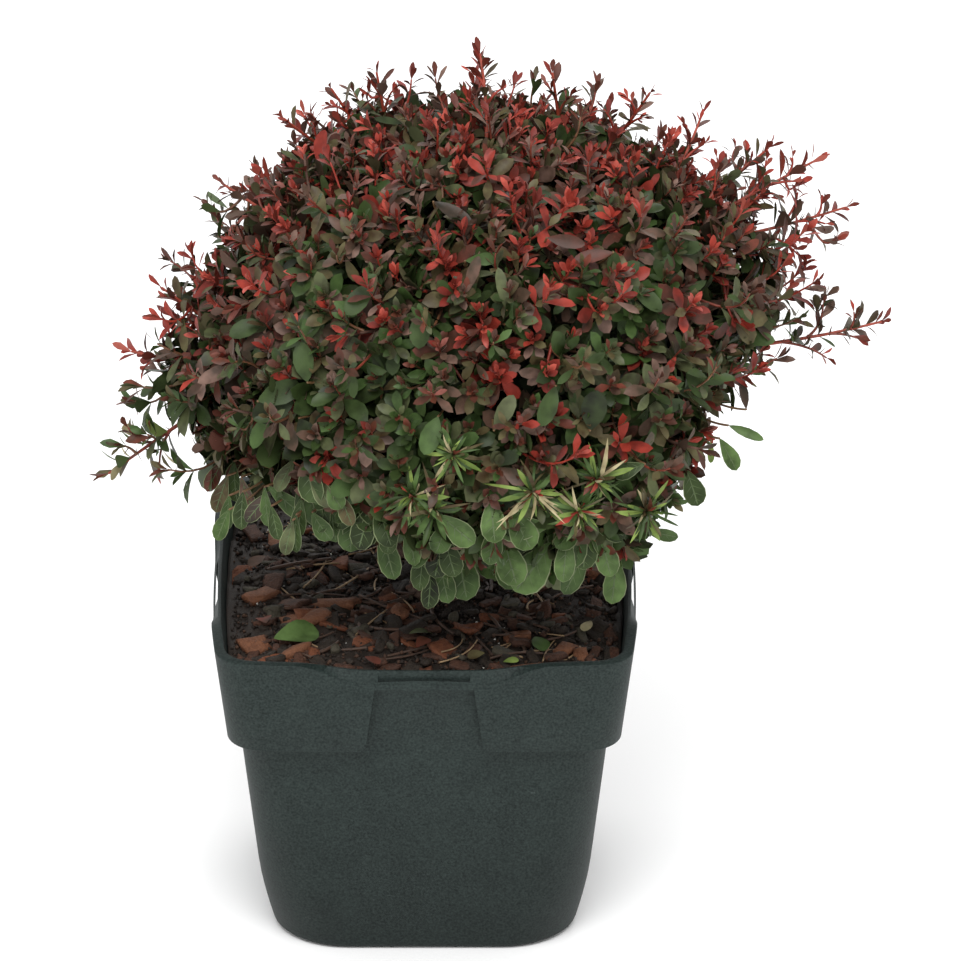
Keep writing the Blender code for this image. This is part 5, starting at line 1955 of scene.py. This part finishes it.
def skirt_leaves():
    """Fans of large leaves that hang round the crown's foot. Returns them and their stalks."""
    rng = np.random.default_rng(SKIRT_SEED)
    number = np.arange(SKIRT_COUNT)
    turn = number * GOLDEN_ANGLE + rng.normal(scale=SKIRT_TURN_PLAY, size=SKIRT_COUNT)
    height = rng.uniform(SKIRT_HEIGHTS[1], SKIRT_HEIGHTS[0], SKIRT_COUNT)
    flat = np.sqrt(1.0 - height * height)
    around = np.stack((flat * np.cos(turn), flat * np.sin(turn), height), 1)
    root = crown_point(around, rng.uniform(*SKIRT_REACH, SKIRT_COUNT))
    outward = unit(around * SKIRT_FLATNESS)
    level = unit(np.cross(UP, outward))
    gathered = []
    for fan in SKIRT_FAN:
        kept = rng.uniform(size=SKIRT_COUNT) < SKIRT_KEPT
        angle = np.radians(fan + rng.normal(scale=SKIRT_FAN_PLAY, size=SKIRT_COUNT))[:, None]
        along = unit(level * np.sin(angle) - UP * np.cos(angle) * SKIRT_HANG + outward * SKIRT_OUT)
        facing = blend(SKIRT_FACING, outward, UP) + rng.normal(scale=SKIRT_PLAY, size=(SKIRT_COUNT, 3))
        zone = 1 + rng.integers(0, 2, SKIRT_COUNT)
        kinds = PALETTE_TABLE[PALETTE_NAMES.index("skirt"), zone, rng.integers(0, 4, SKIRT_COUNT)]
        rows = leaf_rows(
            SKIRT_COUNT,
            root + along * SKIRT_STALK,
            along,
            facing,
            rng.uniform(*SKIRT_LEAF, SKIRT_COUNT),
            rng.uniform(*SKIRT_SLENDER, SKIRT_COUNT),
            rng.uniform(*SKIRT_BEND, SKIRT_COUNT),
            rng.uniform(*SKIRT_FOLD, SKIRT_COUNT),
            kinds,
            np.full(SKIRT_COUNT, SHAPE["large"]),
        )
        gathered.append(rows[kept])
    return np.concatenate(gathered), root


def facing_points(places, reach):
    """The crown's points that show at places across and up the photograph, in metres."""
    start = places[:, :1] * ACROSS_VIEW + places[:, 1:] * UP_VIEW
    away = np.linspace(*LINE_OF_SIGHT)
    line = start[:, None] + away[None, :, None] * TOWARDS_CAMERA
    offset = line - CROWN_HEART
    length = np.linalg.norm(offset, axis=2)
    beyond = length - crown_radius(offset / length[..., None]) * reach
    inside = beyond < 0
    first = np.where(inside.any(1), inside.argmax(1), beyond.argmin(1))
    return line[np.arange(len(places)), first]


def placed_leaves():
    """The single leaves, which face the front, and where their stalks begin."""
    rng = np.random.default_rng(PLACED_SEED)
    rows = np.array([row[:5] for row in PLACED_LEAVES], float)
    kinds = np.array([KIND[row[5]] for row in PLACED_LEAVES])
    way = np.radians(rows[:, 4])
    middle = rows[:, :2] / 1000
    base = middle - np.stack((np.cos(way), np.sin(way)), 1) * rows[:, 2:3] / 2000
    spot = facing_points(middle, PLACED_REACH)
    shift = base - middle
    root = spot + shift[:, :1] * ACROSS_VIEW + shift[:, 1:] * UP_VIEW - TOWARDS_CAMERA * PLACED_SINK
    along = unit(swung(way, ACROSS_VIEW, UP_VIEW) + TOWARDS_CAMERA * PLACED_LEAN)
    facing = blend(PLACED_FACING, TOWARDS_CAMERA, unit(spot - CROWN_HEART), UP)
    leaves = leaf_rows(
        len(rows),
        root,
        along,
        facing + rng.normal(scale=PLACED_PLAY, size=spot.shape),
        rows[:, 2] / 1000 * LENGTH_GAIN,
        rows[:, 3] / rows[:, 2] * WIDTH_GAIN,
        rng.uniform(*PLACED_BEND, len(rows)),
        rng.uniform(*PLACED_FOLD, len(rows)),
        kinds,
        np.where(middle[:, 1] < PALE_RIMS_BELOW, SHAPE["large"], SHAPE["oval"]),
    )
    return leaves, root


def strap_leaves():
    """Tufts of narrow, curling, straw and lime straps with a red middle."""
    rng = np.random.default_rng(STRAP_SEED)
    spots = np.array(STRAP_SPOTS) / 1000
    front = facing_points(spots, STRAP_REACH)
    back = front * np.array((-1.0, -1.0, 1.0)) + np.array((2 * CROWN_HEART[0], 0.0, 0.0))
    middle = np.concatenate((front, back[::2]))
    count = len(middle)
    axis = unit(blend(STRAP_AXIS, unit(middle - CROWN_HEART), UP))
    across = unit(np.cross(axis, UP))
    beside = np.cross(axis, across)
    gathered = []
    for ring, (leaves, spread, long, slender, zone, shape) in enumerate(STRAP_RINGS):
        for leaf in range(leaves):
            turn = 2 * math.pi * (leaf + 0.5 * ring) / leaves + rng.normal(scale=STRAP_TURN_PLAY, size=count)
            angle = np.radians(spread + rng.normal(scale=STRAP_SPREAD_PLAY, size=count))
            along = unit(swung(angle, axis, swung(turn, across, beside)))
            gathered.append(leaf_rows(
                count,
                middle,
                along,
                axis + rng.normal(scale=STRAP_PLAY, size=(count, 3)),
                long * rng.uniform(*STRAP_LENGTH_PLAY, count),
                slender * rng.uniform(*STRAP_WIDTH_PLAY, count),
                rng.uniform(*STRAP_BEND, count),
                rng.uniform(*STRAP_FOLD, count),
                PALETTE_TABLE[PALETTE_NAMES.index("straw"), zone, rng.integers(0, 4, count)],
                np.full(count, SHAPE[shape]),
            ))
    return np.concatenate(gathered), middle


def stalks(roots):
    """A thin stalk from each of these roots back into the crown."""
    inward = unit(CROWN_HEART - roots)
    end = roots + inward * STALK_LENGTH
    bend = (roots + end) / 2 - UP * STALK_SAG
    return bezier(end, bend, roots, SHOOT_POINTS)


def raised_points(leaves):
    """The points of large leaves, just above their faces, and the number of the last one."""
    places, _ = LEAF_TEMPLATES[SHAPE["large"]]
    points, facing = leaf_points(leaves, places)
    return points + facing[:, None] * MARGIN_LIFT, len(places) - 1


def margin_strips(leaves):
    """Pale rims along the edges of large leaves."""
    points, last = raised_points(leaves)
    centre = points[:, [2, *range(2, last, 3), last - 2]]
    count = centre.shape[1]
    found = []
    for i in range(count - 1):
        found += [(i, i + 1, count + i + 1), (i, count + i + 1, count + i)]
    pieces = []
    for side in (1, 3):
        outer = points[:, [0, *range(side, last, 3), last]]
        inner = outer + (centre - outer) * MARGIN_SHARE
        pieces.append(many(np.concatenate((outer, inner), 1), found))
    return stacked(pieces)


def vein_strips(leaves):
    """A midrib and side veins on the faces of large leaves."""
    points, last = raised_points(leaves)
    middle = points[:, 2:last:3]
    lower = middle[:, :-1]
    upper = middle[:, 1:]
    feet = lower + (upper - lower) * VEIN_SHARE
    pieces = []
    for side in (1, 3):
        sideways = points[:, side:last:3] - middle
        half_rib = middle + sideways * RIB_SHARE
        rib = np.stack((lower, upper, half_rib[:, 1:], half_rib[:, :-1]), 2)
        veins = np.stack((lower, feet, upper + sideways[:, 1:] * VEIN_REACH), 2)
        pieces.append(many(rib.reshape(-1, 4, 3), [(0, 1, 2), (0, 2, 3)]))
        pieces.append(many(veins.reshape(-1, 3, 3), [(0, 1, 2)]))
    return stacked(pieces)


def make_leaves(leaves):
    """Joins the leaves of each kind to one piece."""
    for number, (name, *tints) in enumerate(LEAF_KINDS):
        own = leaves[leaves[:, LEAF_KIND].astype(int) == number]
        pieces = []
        for shape, (places, triangles) in enumerate(LEAF_TEMPLATES):
            alike = own[own[:, LEAF_SHAPE].astype(int) == shape]
            if len(alike):
                pieces.append(many(leaf_points(alike, places)[0], triangles))
        slot_name = "green_leaves" if number >= FIRST_GREEN else "red_leaves"
        joined(f"{name}_leaves", *stacked(pieces), leaf_material(f"{name}_leaf", *tints), slot_name)


SKIRT_LEAVES, SKIRT_ROOTS = skirt_leaves()
PLACED, PLACED_ROOTS = placed_leaves()
STRAPS, STRAP_ROOTS = strap_leaves()
ALL_LEAVES = np.concatenate((shoot_leaves(), SKIRT_LEAVES, PLACED, STRAPS))
make_leaves(ALL_LEAVES)
LARGE_LEAVES = ALL_LEAVES[ALL_LEAVES[:, LEAF_SHAPE].astype(int) == SHAPE["large"]]
MARGIN_TINTS = ((0.180, 0.215, 0.105), (0.100, 0.128, 0.058), (0.150, 0.180, 0.090), 0.5)
VEIN_TINTS = ((0.088, 0.128, 0.050), (0.066, 0.098, 0.036), (0.090, 0.120, 0.060), 0.5)
margin = leaf_material("pale_leaf_margin", *MARGIN_TINTS)
joined("pale_leaf_margins", *margin_strips(LARGE_LEAVES), margin, "green_leaves")
vein = leaf_material("leaf_vein", *VEIN_TINTS)
joined("large_leaf_veins", *vein_strips(LARGE_LEAVES), vein, "green_leaves")
STALK_TINTS = ((0.10, 0.050, 0.022), (0.17, 0.095, 0.040), 0.5)
stalk_material = grainy("green_stalk", *STALK_TINTS, TWIG_FINISH)
stalk_paths = stalks(np.concatenate((SKIRT_ROOTS, PLACED_ROOTS, STRAP_ROOTS)))
stalk_radii = np.full((len(stalk_paths), SHOOT_POINTS), STALK_RADIUS)
joined("leaf_stalks", *tubes(stalk_paths, stalk_radii, STALK_SIDES, STALK_SEED), stalk_material, "bark")


# The shoots are soft and round, scarlet in the red sprays and red-brown or olive in the rest.
# Thin dark spines stand out from the leaders, as on every barberry.
SHOOT_TIP_RADIUS = 0.00045
SHOOT_ROOT_RADIUS = 0.00085
SPINE_PLACES = (0.004, 0.010, 0.017, 0.025, 0.033)
SPINE_LENGTH = (0.0035, 0.0065)
SPINE_RADII = (0.00032, 0.00022, 0.00006)
SPINE_KEPT = 0.32
SPINE_SIDES = 4
SPINE_SEED = 93
SPINE_SLANT = 0.35
SPINE_TINTS = ((0.045, 0.024, 0.020), (0.10, 0.045, 0.035), 0.5)
SHOOT_SIDES = 5
SHOOT_SEED = 91
SHOOT_ROUGHNESS = 0.45
SHOOT_KINDS = (
    # name, palettes of its leaves, dark and light tint
    ("scarlet_shoots", ("scarlet", "crimson"), (0.19, 0.020, 0.012), (0.36, 0.046, 0.026)),
    ("red_brown_shoots", ("maroon", "purple", "straw"), (0.11, 0.025, 0.015), (0.24, 0.048, 0.027)),
    ("olive_shoots", ("olive", "green", "skirt"), (0.10, 0.045, 0.022), (0.20, 0.085, 0.040)),
    ("old_shoots", ("inner",), (0.045, 0.026, 0.018), (0.11, 0.055, 0.036)),
)


def make_shoots():
    taper = np.linspace(SHOOT_ROOT_RADIUS, SHOOT_TIP_RADIUS, SHOOT_POINTS)
    paths = np.concatenate([group[0] for group in SHOOT_GROUPS])
    palette = np.concatenate([group[1] for group in SHOOT_GROUPS])
    for name, owners, dark, light in SHOOT_KINDS:
        chosen = np.isin(palette, [PALETTE_NAMES.index(owner) for owner in owners])
        shoots = tubes(paths[chosen], taper[None].repeat(chosen.sum(), 0), SHOOT_SIDES, SHOOT_SEED)
        joined(name, *shoots, grainy(name, dark, light, SHOOT_ROUGHNESS, TWIG_FINISH), "bark")


def make_spines():
    """Thin spines, in twos and threes, at the nodes of the leaders."""
    rng = np.random.default_rng(SPINE_SEED)
    paths = np.concatenate((OUTER_PATHS[IS_LEADER], TWIG_PATHS[TWIG_COUNT:], SIDE_PATHS))
    found = []
    for place in SPINE_PLACES:
        root, axis, _ = at_distance(paths, np.full(len(paths), place))
        for _ in range(2):
            way = unit(np.cross(axis, rng.normal(size=axis.shape)) + axis * SPINE_SLANT)
            length = rng.uniform(*SPINE_LENGTH, (len(paths), 1))
            kept = rng.uniform(size=len(paths)) < SPINE_KEPT
            found.append(bezier(root, root + way * length * 0.5, root + way * length, 3)[kept])
    spines = np.concatenate(found)
    radii = np.array(SPINE_RADII)[None].repeat(len(spines), 0)
    dark = grainy("dark_spine", *SPINE_TINTS, TWIG_FINISH)
    joined("spines", *tubes(spines, radii, SPINE_SIDES, SPINE_SEED + 1), dark, "bark")


make_shoots()
make_spines()


# A few fallen leaves lie on the compost, green, red and brown. They are the same leathery
# blades as the rest, duller now, and rest on the chips.
FALLEN_RISE = 0.0060
FALLEN_ROUGHNESS = 0.6
FALLEN_BEND = (0.05, 0.30)
FALLEN_FOLD = (0.1, 0.3)
FALLEN_LEAN = 0.2
FALLEN_TILT = 0.15
FALLEN_SEED = 95
FALLEN_LEAVES = (
    # across, away, length, width, turned in degrees, kind
    (-0.0617, -0.0590, 0.024, 0.016, 20, "fresh_green"),
    (0.0560, -0.0640, 0.015, 0.009, 285, "mid_green"),
    (-0.0015, -0.0545, 0.014, 0.008, 30, "grey_green"),
    (-0.0010, -0.0660, 0.011, 0.007, 60, "brick"),
    (0.0250, -0.0780, 0.009, 0.006, 200, "olive_brown"),
    (-0.0250, -0.0840, 0.010, 0.006, 320, "maroon"),
    (-0.0780, -0.0400, 0.012, 0.008, 100, "brick"),
    (0.0790, -0.0450, 0.011, 0.006, 250, "straw"),
    (0.0420, -0.0850, 0.008, 0.005, 10, "lime"),
    (-0.0450, 0.0700, 0.014, 0.009, 45, "olive_brown"),
    (0.0150, 0.0820, 0.012, 0.007, 280, "maroon"),
    (0.0800, 0.0500, 0.012, 0.008, 160, "brick"),
    (-0.0820, 0.0200, 0.011, 0.007, 220, "purple_brown"),
)


def make_fallen_leaves():
    rng = np.random.default_rng(FALLEN_SEED)
    rows = np.array([row[:5] for row in FALLEN_LEAVES])
    turn = np.radians(rows[:, 4])
    along = np.stack((np.cos(turn), np.sin(turn), rng.uniform(0.0, FALLEN_LEAN, len(rows))), 1)
    level = soil_surface(rows[:, 0], rows[:, 1]) + FALLEN_RISE
    middle = np.stack((rows[:, 0], rows[:, 1], level), 1)
    leaves = leaf_rows(
        len(rows),
        middle - along * rows[:, 2:3] / 2,
        unit(along),
        UP + rng.normal(scale=FALLEN_TILT, size=middle.shape),
        rows[:, 2],
        rows[:, 3] / rows[:, 2],
        rng.uniform(*FALLEN_BEND, len(rows)),
        rng.uniform(*FALLEN_FOLD, len(rows)),
        np.array([KIND[row[5]] for row in FALLEN_LEAVES]),
        np.full(len(rows), SHAPE["large"]),
    )
    places, triangles = LEAF_TEMPLATES[SHAPE["large"]]
    for kind in sorted(set(leaves[:, LEAF_KIND].astype(int))):
        own = leaves[leaves[:, LEAF_KIND].astype(int) == kind]
        name, face, patch, underside, _ = LEAF_KINDS[kind]
        made = leaf_material(f"fallen_{name}", face, patch, underside, FALLEN_ROUGHNESS)
        joined(f"fallen_{name}_leaves", *many(leaf_points(own, places)[0], triangles), made, "red_leaves")


make_fallen_leaves()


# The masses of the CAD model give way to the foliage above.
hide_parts(*sorted(node for node in frame["nodes"] if node.startswith("mass_")))
